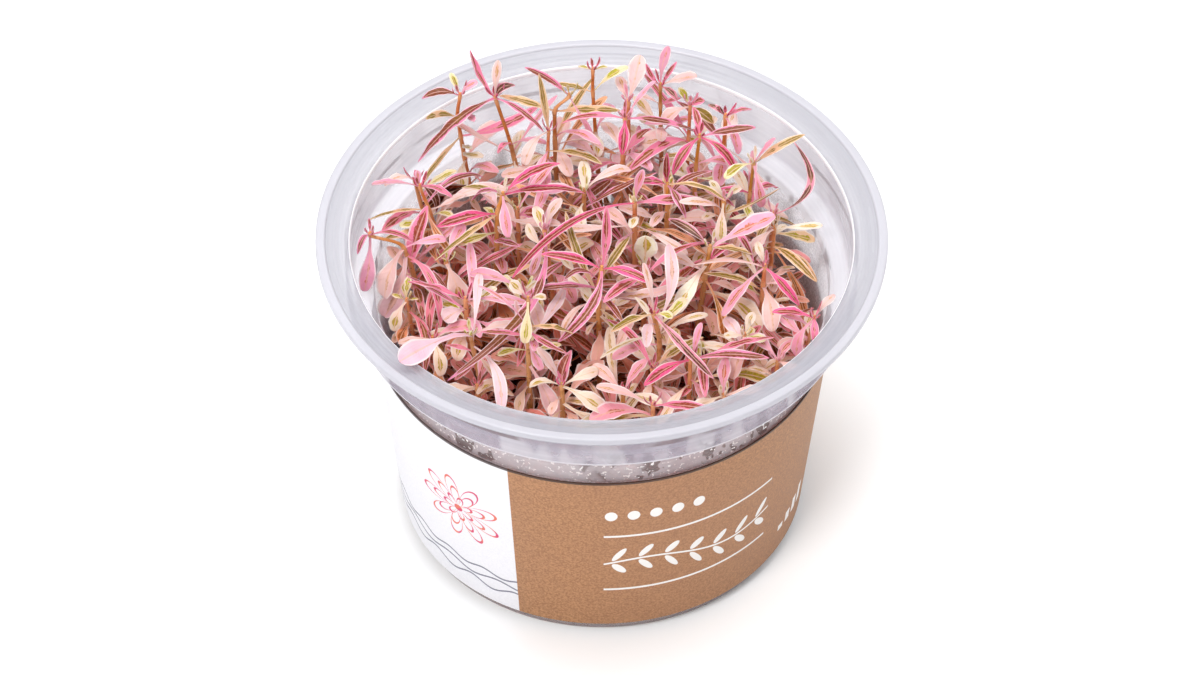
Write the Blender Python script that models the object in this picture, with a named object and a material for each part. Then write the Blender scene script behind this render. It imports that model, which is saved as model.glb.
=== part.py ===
"""A tissue culture cup of a slender pink and brown leaved water plant.

A round translucent cup with a stepped collar and a wide flat rim, a printed paper sleeve round its
body, a disc of nutrient gel on its floor, and the shoots that grow up out of the gel. Each shoot is
one solid: a stem with pairs of narrow leaves. The origin is the middle of the cup's underside, +Z is
up and -Y is the front. Sizes are in millimetres here and turn into metres when a mesh is made.
"""

import math
import random
from collections import namedtuple

import bpy
from mathutils import Matrix, Vector
from mathutils.bvhtree import BVHTree

MM = 0.001

# Cup
RIM_RADIUS = 47.5
HEIGHT = 61.5
FOOT_RADIUS = 34.2
BODY_TOP = 50.0
BODY_TOP_RADIUS = 39.0
COLLAR_RADIUS = 42.7
COLLAR_TOP = 59.6
WALL = 0.9
LIP_HEIGHT = 1.2
CUP_SEGMENTS = 36

# Paper sleeve and nutrient gel
SLEEVE_BOTTOM = 2.5
SLEEVE_TOP = 41.7
SLEEVE_THICKNESS = 0.3
SLEEVE_GAP_DEGREES = 5.0
GEL_TOP = 16.8
CLEARANCE = 0.3

# Shoots
STEM_HALF = 0.55
STEM_FOOT = GEL_TOP + CLEARANCE
LEVEL_HALF = 0.45
LEVEL_STEP = 1.5
BUD = 1.4
BLADE_THICKNESS = 0.5
LOWER_NODE_DROP = 9.0
SPARSE = 3
FILLER_SHOOTS = 6
SEED = 17

# Leaf tints, by name, with the colour that the solids carry
TINTS = {
    "brown": (0.36, 0.11, 0.08),
    "hot": (0.85, 0.16, 0.34),
    "pink": (0.82, 0.36, 0.45),
    "pale": (0.88, 0.62, 0.62),
    "rose": (0.62, 0.28, 0.34),
    "cream": (0.88, 0.80, 0.62),
    "olive": (0.42, 0.34, 0.10),
    "lime": (0.70, 0.68, 0.16),
    "dark": (0.20, 0.09, 0.08),
}
STEM_COLOUR = (0.50, 0.25, 0.07)

# Shoots read from the photograph. Each has its foot (x, y) and its nodes, top one first. A node has
# its place (x, y, z) and its leaves: the reach from node to tip (x, y, z), how far the middle of the
# leaf bows upwards and to its left, its width, and its tint.
SHOOTS = [
    ((-9, 24), [
        ((-18, 28, 65.5), [
            ((-4.5, 4, 7.5), -1, 0, 2.3, "rose"), ((0.5, 3, 6), 0.5, 0, 1.8, "pale"),
            ((-13, -11, -4.5), 2.5, 0, 3.0, "brown"), ((8.5, -6, -2), 1.5, 0, 2.2, "brown")]),
        ((-15.5, 26.5, 56), [((-3, -5, 3), 1, 0, 2.2, "rose"), ((6, -2, 2), 1, 0, 2.2, "pink")])]),
    ((-19, 25), [
        ((-24, 28, 66), [
            ((-6.5, -0.5, 0), 1, 0, 2.0, "brown"), ((3, 1, 2.5), 0.5, 0, 1.8, "pink"),
            ((-1.5, 2, 3.5), 0, 0, 1.4, "lime")]),
        ((-24.5, 28, 61), [((-5.5, -1, 1), 0.5, 0, 2.2, "olive"), ((4, -3, 3), 0.5, 0, 2.0, "pink")])]),
    ((-21, 10), [
        ((-30.5, 11.5, 60.5), [
            ((-8, -1, 1.5), 1, 0, 2.0, "pink"), ((5.5, -2.5, 0), 1, 0, 2.0, "rose"),
            ((-0.5, 1.5, 2.5), 0, 0, 1.4, "pink")]),
        ((-29, 11, 55.5), [((-10.5, -3.5, 1.5), 1, 0, 1.4, "olive"), ((6, 2, 2), 0, 0, 1.8, "pale")])]),
    ((-18, 6), [
        ((-16.5, 8, 62), [
            ((9.5, 3, 5), 1, 0, 2.6, "hot"), ((-5.5, -0.5, -0.5), 1.5, 0, 2.2, "brown"),
            ((1, -7, -3), 1.5, 0, 2.4, "pink"), ((14, 1, 0.5), 1, 0, 2.3, "hot")]),
        ((-17.5, 7.5, 58), [
            ((-10, -2.5, -0.5), 1.2, 0, 2.6, "hot"), ((-13, -8.5, 0.5), 1, 0, 2.0, "olive"),
            ((10.5, -0.5, -1), -1, 0, 2.4, "pale")])]),
    ((6, 8), [
        ((5.5, 7.5, 60.5), [
            ((-21.5, -14, -3), 4.5, 0, 2.4, "hot"), ((12, 1.5, -1), 1, 0, 2.4, "rose"),
            ((1, 3, 5), 0, 0, 1.8, "pink")])]),
    ((-6, 1), [
        ((-9.5, 2, 59.5), [
            ((-23.5, -24, -3), 0.5, 4.5, 2.2, "brown"), ((3, 2.5, 5), 0.5, 0, 2.0, "pale")])]),
    ((-17, -15), [
        ((-21.5, -19, 56), [
            ((-11, -12.5, 6.5), 2, 0, 3.4, "pale"), ((7.5, 2, 1), 1, 0, 2.6, "pale")])]),
    ((-28, 4), [
        ((-38.5, 1, 59.5), [
            ((-2, -4, -0.5), 1.5, 0, 1.4, "brown"), ((7.5, -1, -0.5), 1.5, 0, 2.2, "rose"),
            ((-1, -5, -8), 0.5, 0, 3.0, "pink")]),
        ((-33, 1.5, 56), [((-3, -5.5, -6), 1.5, 0, 4.0, "pale"), ((7, 2, 0), 1, 0, 2.2, "pink")])]),
    ((-29, -5), [
        ((-32.5, -5.5, 50.5), [
            ((0.5, 1.5, 4.5), 0.3, 0, 1.5, "lime"), ((-2.5, 0.5, 1), 0.3, 0, 1.2, "lime"),
            ((2, -0.5, 1), 0.2, 0, 1.2, "lime"), ((-2, -4, -3), 1, 0, 2.6, "cream")])]),
    ((-25, 17), [
        ((-31.5, 15, 58.5), [
            ((3, -3, -5.5), 1.5, 0, 2.2, "dark"), ((-5, -3, 2), 1.2, 0, 2.4, "pale")])]),
    ((-6, 24), [
        ((-5.5, 29, 65), [((-7.5, 2, 5), 0.5, 0, 1.6, "brown"), ((4, -5, -5), 0.5, 0, 1.4, "pink")]),
        ((-8, 28, 62.5), [
            ((-9.5, 2.5, 1.5), 0.5, 0, 2.2, "olive"), ((11, 1, 1), -0.5, 0, 2.2, "olive")])]),
    ((-11, 19), [
        ((-9, 24.5, 61), [((-1.2, 5.5, 8.5), 0.5, 0, 1.8, "olive"), ((-4, -5, -3), 1.5, 0, 2.4, "pale")])]),
    ((1, 27), [
        ((-1.5, 30.5, 69.5), [((-2.5, 0.5, 0.5), 0.3, 0, 1.4, "lime"), ((2.5, 0.5, 0.5), 0.3, 0, 1.4, "lime")]),
        ((-1.5, 30.5, 64.5), [
            ((6, 2.5, 4), 0.5, 0, 1.7, "lime"), ((-6.5, 1, 1), 0.5, 0, 1.6, "olive")])]),
    ((2, 20), [
        ((4, 24, 64.5), [
            ((5, 3, 6), 0.5, 0, 1.5, "pink"), ((-0.5, -4.5, -4), 1, 0, 2.5, "hot"),
            ((-11, 0.5, -1), 0.6, 0, 1.8, "rose"), ((12, -3.5, -1), 1, 0, 2.4, "brown")])]),
    ((15, 17), [
        ((16.5, 20, 64), [
            ((9.5, 1, 1.5), 0.6, 0, 2.2, "brown"), ((-4.5, -5, -4), 1, 0, 2.6, "hot"),
            ((6.5, -4, -4.5), 1.5, 0, 2.4, "hot"), ((-2, 3, 4), 0.5, 0, 1.8, "rose")]),
        ((16, 19.5, 58), [((7, -1, 1), 1, 0, 2.4, "pink"), ((-6, 1, 1), 1, 0, 2.2, "olive")])]),
    ((11, 28), [
        ((10, 30.5, 66), [
            ((1.3, 3.5, 6), 0.3, 0, 2.0, "pink"), ((-2, 2.5, 3.5), -0.5, 0, 1.3, "rose"),
            ((2.6, 2.5, 3.5), -0.3, 0, 1.2, "rose"), ((3, -2.5, -1), 0.5, 0, 1.8, "dark"),
            ((6, 1.5, 2), 0.5, 0, 2.6, "pale")]),
        ((10, 30, 62), [((-4, 1, 1), 0.5, 0, 1.4, "pale"), ((3.5, 1, 1), 0.3, 0, 1.4, "rose")])]),
    ((5, 26), [
        ((4.5, 29, 63.5), [((2, 5, 6.5), 0.5, 0, 3.4, "pale"), ((-2, 3.5, 5), 0.5, 0, 2.4, "pale")])]),
    ((20, 22), [
        ((21, 25.5, 63.5), [
            ((-3, 1, 2), 0.6, 0, 1.4, "dark"), ((4.5, 0.5, 1.5), 0.6, 0, 1.9, "rose"),
            ((2, -6, -3), 1.2, 0, 2.4, "pink")])]),
    ((14, 25), [
        ((15, 28, 63.5), [
            ((-2, 1.5, 3), 0.3, 0, 1.8, "lime"), ((2.5, 0.5, 1), 0.5, 0, 2.2, "rose"),
            ((4, -2, -2), 0.5, 0, 2.4, "olive"), ((-4.5, -1.5, -2), 0.8, 0, 2.8, "pale")])]),
    ((22, 10), [
        ((25.5, 15, 62.5), [
            ((8.5, 3, 4.5), 0.5, 0, 1.9, "olive"), ((3.5, 1, 5), 0.3, 0, 1.6, "pink"),
            ((-5, -3.5, 0), 1, 0, 2.0, "lime"), ((1.5, -4.5, -6), 1.2, 0, 2.2, "pink")]),
        ((25, 14, 56.5), [((5, 3, -1), 1, 0, 2.2, "rose"), ((-6, -1, 1), 1, 0, 2.2, "hot")])]),
    ((27, 9), [
        ((29, 11, 54.5), [((3.5, 12, 5.5), 0, -4.4, 1.8, "dark"), ((-3, -5, -1), 1, 0, 2.2, "olive")])]),
    ((11, 8), [
        ((11, 11, 61.5), [
            ((-0.2, 2, 5.5), 0.3, 0, 1.8, "hot"), ((-5, 0, 0.5), 0.5, 0, 2.3, "hot"),
            ((3, -5.5, -2.5), 1, 0, 2.0, "brown"), ((10, -3, -0.5), 1, 0, 1.8, "olive")])]),
    ((19, 7), [
        ((20.5, 10.5, 58), [
            ((-2.5, 2, 3), 0.5, 0, 1.8, "cream"), ((3, 1.5, 2), 0.5, 0, 1.8, "cream"),
            ((-0.5, -6, -4), 1.2, 0, 2.2, "cream")])]),
    ((14, -5), [
        ((18, -1.5, 59), [
            ((10.8, 4, 3), 1, 0, 4.0, "pink"), ((7, -1.5, 0), 0.6, 0, 2.4, "olive"),
            ((-7, 5.5, 2), 1, 0, 1.9, "dark")]),
        ((17.5, -2, 55.5), [
            ((-15, -9, 1), -1.5, 0, 2.6, "pale"), ((-6, -6.5, -4), 1, 0, 3.0, "cream"),
            ((4, 5, 0), 1, 0, 2.4, "hot")])]),
    ((26, -5), [
        ((27, -4.5, 57.5), [
            ((-7, -7.5, -4), 1, 0, 2.6, "pink"), ((5.5, -4, -5), 1, 0, 2.5, "hot"),
            ((-12, 0.5, 0.5), 1, 0, 3.0, "pale"), ((-1.5, 3, 3), 0.3, 0, 1.6, "cream")])]),
    ((7, 1), [((7, 2, 51), [((0.3, 3, 4.5), 0.3, 0, 4.4, "cream"), ((-5, -3, 1), 1, 0, 2.6, "pink")])]),
    ((30, -12), [
        ((35, -14.5, 55.5), [
            ((-7, 0.5, 1), 0.6, 0, 2.7, "hot"), ((3.4, 4, 1.5), 0.5, 0, 1.8, "pale"),
            ((-2.8, -3, -6), 1.5, 0, 2.6, "pink"), ((0.5, -5, -2), 2.2, 0, 1.8, "rose")])]),
    ((27, 3), [
        ((29, 6.5, 55.5), [((8, -0.5, 1), 0.6, 0, 1.7, "cream"), ((-4, -5, -2), 1.2, 0, 2.6, "pale")])]),
    ((0, -9), [
        ((0, -7, 59.5), [
            ((-10, 1.5, 2), 0.8, 0, 2.3, "hot"), ((8, -3, -0.5), 1.3, 0, 2.5, "hot"),
            ((0.7, 5.5, 9), -0.5, 0, 2.2, "rose"), ((-7.5, -12, -4.5), 0.5, 2.5, 2.4, "brown")]),
        ((-0.5, -7.5, 55.5), [
            ((-12.5, -2, 1), 1, 0, 2.3, "brown"), ((6, -2.5, -0.5), 0.6, 0, 2.2, "dark")])]),
    ((-11, -21), [
        ((-12, -17.5, 63), [
            ((-0.5, -4.5, -5.5), 0.6, 0, 2.2, "lime"), ((-3, 1.5, 2.5), 0.4, 0, 2.3, "cream"),
            ((3, 0.5, 0), 0.4, 0, 1.4, "cream")]),
        ((-12, -20, 47.5), [((-9, -4, 1), 1, 0, 3.0, "cream"), ((7, 0.5, 2), 1, 0, 2.2, "pale")])]),
    ((-6, -27), [
        ((-6.5, -26.5, 52), [
            ((-5.5, 0, 0), 0.8, 0, 2.2, "cream"), ((6, 3, 0.5), 0.8, 0, 2.2, "cream"),
            ((-4, 3, 6), 0.5, 0, 2.0, "pale"), ((7, -4, -2), 1, 0, 3.4, "cream")])]),
    ((8, -17), [
        ((8.5, -17.5, 59.5), [
            ((-7, -3, -1), 1, 0, 2.5, "olive"), ((3.2, -0.5, 0), 0.3, 0, 1.6, "lime"),
            ((-1.7, 4, 8), 0.3, 0, 1.4, "pale"), ((9.5, -9, -6), 1, 0, 2.3, "dark")]),
        ((9.5, -17, 52), [((12, -2, 0), 0.8, 0, 1.9, "cream"), ((-8, -2, -1), 1, 0, 2.4, "pink")])]),
    ((14, -24), [
        ((14.5, -22.5, 54), [
            ((12.8, -0.5, 0.5), 1, 0, 2.5, "brown"), ((-7.5, -4, -2), 1, 0, 2.9, "hot"),
            ((2, 2.5, 6), 0.3, 0, 1.7, "pink")])]),
    ((22, -15), [
        ((23.5, -16.5, 53.5), [
            ((-3.5, -0.5, 0.5), 0.3, 0, 2.4, "cream"), ((3.5, -1, 0), 0.3, 0, 2.4, "lime"),
            ((1.5, 2.5, 3), 0.3, 0, 1.8, "cream"), ((-2, -7, -3), 1, 0, 3.0, "pale")])]),
    ((-19, -21), [
        ((-20.5, -23, 48), [
            ((-6, -2, 1), 0.6, 0, 2.6, "cream"), ((6.5, -3, 0.5), 0.6, 0, 2.6, "cream"),
            ((1, 4, 4), 0.5, 0, 2.4, "pink")])]),
    ((20, -25), [
        ((20, -26, 49), [
            ((7, -1, 0), 0.8, 0, 2.8, "pale"), ((-6, -4.5, 0.5), 0.8, 0, 2.6, "cream"),
            ((0, 4, 5), 0.5, 0, 2.6, "pink")])]),
    ((-26, -13), [
        ((-28, -14, 50), [
            ((-5.5, -2.5, 1.5), 0.8, 0, 3.0, "pale"), ((7, 1.5, 2), 0.8, 0, 2.6, "pink"),
            ((1.5, -6.5, -2), 1, 0, 2.6, "cream")])]),
    ((-24, 1), [
        ((-26, 1, 53), [((3, -7, -3), 1.2, 0, 4.0, "pale"), ((3, 5, 4), 0.8, 0, 2.6, "pink")])]),
    ((3, -24), [
        ((3.5, -26, 49.5), [
            ((6, -4, 1), 0.8, 0, 2.6, "cream"), ((-5, 4, 3), 0.6, 0, 2.4, "pale"),
            ((4, 4, 4), 0.5, 0, 2.4, "pink")])]),
    ((27, -17.5), [
        ((29, -19.5, 50.5), [((3.5, -4.5, 1.5), 0.6, 0, 2.6, "pale"), ((-5, 3, 3), 0.6, 0, 2.6, "pink")])]),
    ((-12, -7), [
        ((-13, -7, 54.5), [((-9, 3, 1.5), 1, 0, 2.8, "pink"), ((3, -8, -1), 1, 0, 2.8, "pale")])]),
    ((-3, 12), [
        ((-3, 13, 58), [((8, 4, 2), 1, 0, 2.8, "pale"), ((-7, -1.5, 1.5), 1, 0, 2.6, "pink")])]),
]

Leaf = namedtuple("Leaf", "root knee tip width tint")
Stem = namedtuple("Stem", "foot points facing")


def body_radius(z):
    """Outside radius of the cup's tapered body at height z."""
    return FOOT_RADIUS + (BODY_TOP_RADIUS - FOOT_RADIUS) * z / BODY_TOP


def inside_radius(z):
    """Radius of the free space inside the cup at height z."""
    if z < BODY_TOP + WALL:
        return body_radius(z) - WALL
    if z < COLLAR_TOP + WALL:
        return COLLAR_RADIUS - WALL - 0.4
    return RIM_RADIUS


def on_curve(leaf, t):
    """Point and direction of a leaf's midrib at t, from 0 at the node to 1 at the tip."""
    point = leaf.root * (1 - t) ** 2 + leaf.knee * (2 * t * (1 - t)) + leaf.tip * t ** 2
    along = (leaf.knee - leaf.root) * (1 - t) + (leaf.tip - leaf.knee) * t
    return point, along.normalized()


def leaf_frame(leaf, t):
    """Point on the midrib with the blade's sideways and upward directions there."""
    point, along = on_curve(leaf, t)
    reach = leaf.tip - leaf.root
    side = Vector((-reach.y, reach.x, 0)).normalized()
    return point, side, along.cross(side).normalized()


def outline(t, slender):
    """Share of the full blade width at t: a thin stalk, a long blade and a tapering tip."""
    blade = math.sin(math.pi * t ** (0.85 if slender else 1.35)) ** 0.8 if t < 1 else 0
    stalk = 0.30 * max(0, 1 - t / 0.5)
    return min(1, blade + stalk)


def make_leaf(node, reach, bow, side_bow, width, tint):
    """A leaf from a node: its midrib is a parabola whose middle bows off the chord."""
    reach = Vector(reach)
    sideways = Vector((-reach.y, reach.x, 0)).normalized()
    upward = reach.cross(sideways).normalized()
    knee = node + reach * 0.45 + (upward * bow + sideways * side_bow) * 2
    return Leaf(node, knee, node + reach, width, tint)


def stations(leaf):
    """Places along a leaf where its solid has a section."""
    length = (leaf.tip - leaf.root).length
    if length < 4.5:
        return (0.55,)
    if length < 12:
        return (0.25, 0.62)
    if length < 20:
        return (0.2, 0.45, 0.75)
    return (0.14, 0.32, 0.55, 0.8)


def section(leaf, t, grow=0.0):
    """Four corners of the blade's flat section at t, counter-clockwise seen from the tip."""
    point, side, up = leaf_frame(leaf, t)
    slender = leaf.width < 0.25 * (leaf.tip - leaf.root).length
    half = side * (leaf.width * outline(t, slender) / 2 + grow)
    rise = up * (BLADE_THICKNESS / 2 + grow)
    return [point - half - rise, point + half - rise, point + half + rise, point - half + rise]


def blade_mesh(leaf, grow, whole):
    """Closed mesh of a leaf alone, for the clearance tests, with its stalk or from its blade on."""
    places = ((0.06,) if whole else ()) + stations(leaf)
    rings = [section(leaf, t, grow) for t in places]
    points = [p for ring in rings for p in ring] + [leaf.tip + (leaf.tip - leaf.knee).normalized() * grow]
    faces = [(3, 2, 1, 0)]
    for r in range(len(rings) - 1):
        faces += [(4 * r + k, 4 * r + (k + 1) % 4, 4 * r + 4 + (k + 1) % 4, 4 * r + 4 + k) for k in range(4)]
    last = 4 * (len(rings) - 1)
    faces += [(last + k, last + (k + 1) % 4, last + 4) for k in range(4)]
    return points, faces


def stem_at(stem, z):
    """Middle of a stem at height z, on straight runs between its points."""
    points = stem.points
    for low, high in zip(points, points[1:]):
        if z <= high.z:
            return low.lerp(high, (z - low.z) / (high.z - low.z))
    return points[-1] + Vector((0, 0, z - points[-1].z))


def stem_ring(stem, z, half):
    """Square section of a stem; face k looks along its facing angle plus k quarter turns."""
    middle = stem_at(stem, z)
    turns = [stem.facing + math.radians(90 * k - 45) for k in range(4)]
    reach = half * math.sqrt(2)
    return [middle + Vector((math.cos(a), math.sin(a), 0)) * reach for a in turns]


def stem_mesh(stem, grow):
    """Closed mesh of a stem alone, for the clearance tests."""
    heights = [p.z for p in stem.points] + [stem.points[-1].z + BUD]
    points = [p for z in heights for p in stem_ring(stem, z, STEM_HALF + grow)]
    faces = [(3, 2, 1, 0)]
    for r in range(len(heights) - 1):
        faces += [(4 * r + k, 4 * r + (k + 1) % 4, 4 * r + 4 + (k + 1) % 4, 4 * r + 4 + k) for k in range(4)]
    return points, faces


class Solid:
    """A placed leaf or stem, with search trees for the clearance tests."""

    def __init__(self, owner, whole, blade):
        self.owner = owner
        self.whole = BVHTree.FromPolygons(*whole)
        self.blade = BVHTree.FromPolygons(*blade)
        points = whole[0]
        self.low = Vector([min(p[i] for p in points) for i in range(3)])
        self.high = Vector([max(p[i] for p in points) for i in range(3)])

    def meets(self, other):
        """Whether two solids touch. Pieces of one shoot are joined at their node, so only blades count."""
        if any(self.low[i] > other.high[i] or other.low[i] > self.high[i] for i in range(3)):
            return False
        if self.owner == other.owner:
            return bool(self.blade.overlap(other.blade))
        return bool(self.whole.overlap(other.whole))


def inside_cup(leaf):
    """Whether a leaf clears the cup's wall, its rim and the gel."""
    for step in range(1, 11):
        t = step / 10
        for corner in section(leaf, t) if t < 1 else [leaf.tip]:
            radius = math.hypot(corner.x, corner.y)
            if corner.z < GEL_TOP + 1 or radius > inside_radius(corner.z - 0.3) - CLEARANCE:
                return False
            if radius > COLLAR_RADIUS - WALL - 1 and corner.z < HEIGHT + CLEARANCE:
                return False
    return True


def nudges(is_read):
    """Small changes to try on a leaf until it is clear: turn, slide along the line of sight, shrink."""
    turns = (0, 5, -5, 10, -10, 16, -16) if is_read else (0, 14, -14, 28, -28, 44, -44, 60, -60)
    for scale in (1, 0.9, 0.8) if is_read else (1, 0.85, 0.7):
        for slide in (0, 1, -1, 2, -2, 3, -3):
            for turn in turns:
                yield math.radians(turn), slide, scale


def grow_leaf(owner, node, spec, placed, is_read):
    """Places one leaf clear of all that stands already, or gives None."""
    reach, bow, side_bow, width, tint = spec
    for turn, slide, scale in nudges(is_read):
        moved = Matrix.Rotation(turn, 3, "Z") @ (Vector(reach) * scale)
        moved += Vector((0, -0.7 * slide, 0.7 * slide))
        leaf = make_leaf(node, moved, bow * scale, side_bow, width, tint)
        if not inside_cup(leaf):
            continue
        probe = Solid(owner, blade_mesh(leaf, CLEARANCE, True), blade_mesh(leaf, CLEARANCE, False))
        if any(probe.meets(other) for other in placed):
            continue
        placed.append(Solid(owner, blade_mesh(leaf, 0, True), blade_mesh(leaf, 0, False)))
        return leaf
    return None


def pair_of_leaves(draw, turn, length, rise, tints, width):
    """Two opposite leaves of a generated node."""
    for half in (0, math.pi):
        angle = turn + half + draw.uniform(-0.25, 0.25)
        size = length * draw.uniform(0.85, 1.1)
        reach = (size * math.cos(angle), size * math.sin(angle), rise + draw.uniform(-1.5, 1.5))
        yield reach, draw.uniform(0.5, 1.4), 0, width * draw.uniform(0.85, 1.15), draw.choice(tints)


def generated_nodes(draw, top, turn, count):
    """Nodes under a given height, each a quarter turn from the next, with smaller, paler leaves."""
    z = top
    for level in range(count):
        z -= LOWER_NODE_DROP * draw.uniform(0.85, 1.1)
        tints = ("cream", "pale", "pink", "cream") if level else ("pink", "pale", "rose", "cream")
        yield z, list(pair_of_leaves(draw, turn + level * math.pi / 2, 8.5, 1.0, tints, 2.8))


def filler_spots(draw, taken):
    """Feet of the shoots that fill the gaps, on a sunflower spiral, away from the shoots read."""
    spots = []
    for i in range(80):
        radius = 31 * math.sqrt((i + 0.5) / 80)
        angle = i * math.radians(137.5)
        spot = Vector((radius * math.cos(angle), radius * math.sin(angle)))
        if all((spot - other).length > 4.5 for other in taken + spots):
            spots.append(spot)
    draw.shuffle(spots)
    return spots[:FILLER_SHOOTS]


def plan_shoots():
    """Stems and leaves of every shoot: a list of (stem, [(height, leaf), ...])."""
    draw = random.Random(SEED)
    feet = [Vector(foot) for foot, _ in SHOOTS]
    nodes = [list(nodes) for _, nodes in SHOOTS]
    read = len(feet)
    for spot in filler_spots(draw, feet):
        top = Vector((spot.x * 1.05, spot.y * 1.03, 56 + 0.16 * spot.y + draw.uniform(-2, 2)))
        tints = ("brown", "pink", "rose", "pale", "olive")
        crown = list(pair_of_leaves(draw, draw.uniform(0, math.pi), 11, 2.5, tints, 2.5))
        feet.append(spot)
        nodes.append([(top, crown)])
    stems, placed = [], []
    for owner, (foot, rows) in enumerate(zip(feet, nodes)):
        points = [Vector((foot.x, foot.y, STEM_FOOT))] + [Vector(place) for place, _ in reversed(rows)]
        first = rows[0][1][0][0]
        stem = Stem(foot, points, math.atan2(first[1], first[0]))
        stems.append(stem)
        placed.append(Solid(owner, stem_mesh(stem, 0), stem_mesh(stem, 0)))
    grown = [[] for _ in stems]
    for owner, rows in enumerate(nodes):
        for place, specs in rows:
            for spec in specs:
                leaf = grow_leaf(owner, Vector(place), spec, placed, owner < read)
                if leaf:
                    grown[owner].append((place[2], leaf))
    for owner, rows in enumerate(nodes):
        count = 1 if sum(len(specs) for _, specs in rows) >= SPARSE else 2
        for z, specs in generated_nodes(draw, rows[-1][0][2], stems[owner].facing + math.pi / 2, count):
            for spec in specs:
                leaf = grow_leaf(owner, stem_at(stems[owner], z), spec, placed, False)
                if leaf:
                    grown[owner].append((z, leaf))
    return list(zip(stems, grown))


def levels(stem, grown):
    """Shares a shoot's leaves out over the faces of its stem: a list of [height, {face: leaf}]."""
    rows = []
    for z, leaf in sorted(grown, key=lambda item: -item[0]):
        reach = leaf.tip - leaf.root
        turn = math.atan2(reach.y, reach.x) - stem.facing
        face = round(turn / (math.pi / 2)) % 4
        row = next((r for r in rows if face not in r[1] and abs(r[0] - z) < LEVEL_STEP * 2.5), None)
        if row is None:
            height = min([z] + [r[0] - LEVEL_STEP for r in rows])
            row = [height, {}]
            rows.append(row)
        row[1][face] = leaf
    return rows[::-1]


def shoot_mesh(stem, grown):
    """One closed mesh: a square stem whose side faces run out into leaves. Gives tints by face."""
    points, faces, tints = [], [], []

    def add_ring(ring):
        points.extend(ring)
        return list(range(len(points) - len(ring), len(points)))

    def skin(low, high, tint, skip=()):
        for k in range(4):
            if k not in skip:
                faces.append((low[k], low[(k + 1) % 4], high[(k + 1) % 4], high[k]))
                tints.append(tint)

    def cone(ring, tip, tint):
        points.append(tip)
        faces.extend((ring[k], ring[(k + 1) % 4], len(points) - 1) for k in range(4))
        tints.extend([tint] * 4)

    ring = add_ring(stem_ring(stem, STEM_FOOT, STEM_HALF * 1.3))
    faces.append(tuple(reversed(ring)))
    tints.append("stem")
    for height, row in levels(stem, grown):
        low = add_ring(stem_ring(stem, height - LEVEL_HALF, STEM_HALF))
        high = add_ring(stem_ring(stem, height + LEVEL_HALF, STEM_HALF))
        skin(ring, low, "stem")
        skin(low, high, "stem", row)
        for face, leaf in row.items():
            after = (face + 1) % 4
            loop = [low[face], low[after], high[after], high[face]]
            for t in stations(leaf):
                blade = add_ring(section(leaf, t))
                skin(loop, blade, leaf.tint)
                loop = blade
            cone(loop, leaf.tip, leaf.tint)
        ring = high
    cone(ring, stem.points[-1] + Vector((0, 0, BUD)), "stem")
    return points, faces, tints


def material(name, colour, roughness, transmission=0.0):
    """A Principled material in linear colour."""
    mat = bpy.data.materials.new(name)
    mat.use_nodes = True
    shader = mat.node_tree.nodes["Principled BSDF"]
    shader.inputs["Base Color"].default_value = (*colour, 1)
    shader.inputs["Roughness"].default_value = roughness
    shader.inputs["Metallic"].default_value = 0
    shader.inputs["Transmission Weight"].default_value = transmission
    return mat


def add_object(name, points, faces, mats):
    """An object from points in millimetres."""
    mesh = bpy.data.meshes.new(name)
    mesh.from_pydata([Vector(p) * MM for p in points], [], faces)
    for mat in mats:
        mesh.materials.append(mat)
    obj = bpy.data.objects.new(name, mesh)
    bpy.context.scene.collection.objects.link(obj)
    return obj


def turned(name, profile, segments, mat):
    """A solid of revolution. The profile starts and ends on the axis, with the solid on its left."""
    points, rings = [], []
    for radius, z in profile:
        count = segments if radius else 1
        rings.append(list(range(len(points), len(points) + count)))
        for k in range(count):
            angle = 2 * math.pi * k / segments
            points.append((radius * math.cos(angle), radius * math.sin(angle), z))
    faces = []
    for low, high in zip(rings, rings[1:]):
        for k in range(segments):
            after = (k + 1) % segments
            if len(low) == 1:
                faces.append((low[0], high[after], high[k]))
            elif len(high) == 1:
                faces.append((low[k], low[after], high[0]))
            else:
                faces.append((low[k], low[after], high[after], high[k]))
    obj = add_object(name, points, faces, [mat])
    obj.data.shade_smooth()
    obj.data.set_sharp_from_angle(angle=math.radians(35))
    return obj


def build_cup():
    """Thin moulded cup: flat foot, tapered body, step out to a collar, and a wide rim with a lip."""
    lip_foot = HEIGHT - LIP_HEIGHT
    collar_in = COLLAR_RADIUS - WALL
    floor = WALL + 0.3
    profile = [
        (0, 0), (FOOT_RADIUS - 0.8, 0), (body_radius(0.9), 0.9),
        (BODY_TOP_RADIUS, BODY_TOP), (COLLAR_RADIUS - 0.5, BODY_TOP + 0.1), (COLLAR_RADIUS, BODY_TOP + 0.6),
        (COLLAR_RADIUS, COLLAR_TOP - 0.1), (RIM_RADIUS - 0.5, lip_foot - 0.3), (RIM_RADIUS, lip_foot + 0.2),
        (RIM_RADIUS, HEIGHT - 0.3), (RIM_RADIUS - 0.4, HEIGHT), (RIM_RADIUS - 1.0, HEIGHT),
        (RIM_RADIUS - 1.4, HEIGHT - 0.3), (collar_in + 0.5, COLLAR_TOP + 0.8), (collar_in, COLLAR_TOP + 0.4),
        (collar_in - 0.4, BODY_TOP + WALL + 0.6), (collar_in - 0.9, BODY_TOP + WALL + 0.1),
        (BODY_TOP_RADIUS - WALL + 0.3, BODY_TOP + WALL), (BODY_TOP_RADIUS - WALL, BODY_TOP + WALL - 0.6),
        (body_radius(floor + 0.8) - WALL, floor + 0.8), (FOOT_RADIUS - WALL - 0.8, floor), (0, floor),
    ]
    turned("cup", profile, CUP_SEGMENTS, material("clear_plastic", (0.78, 0.77, 0.84), 0.25, 0.8))


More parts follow.
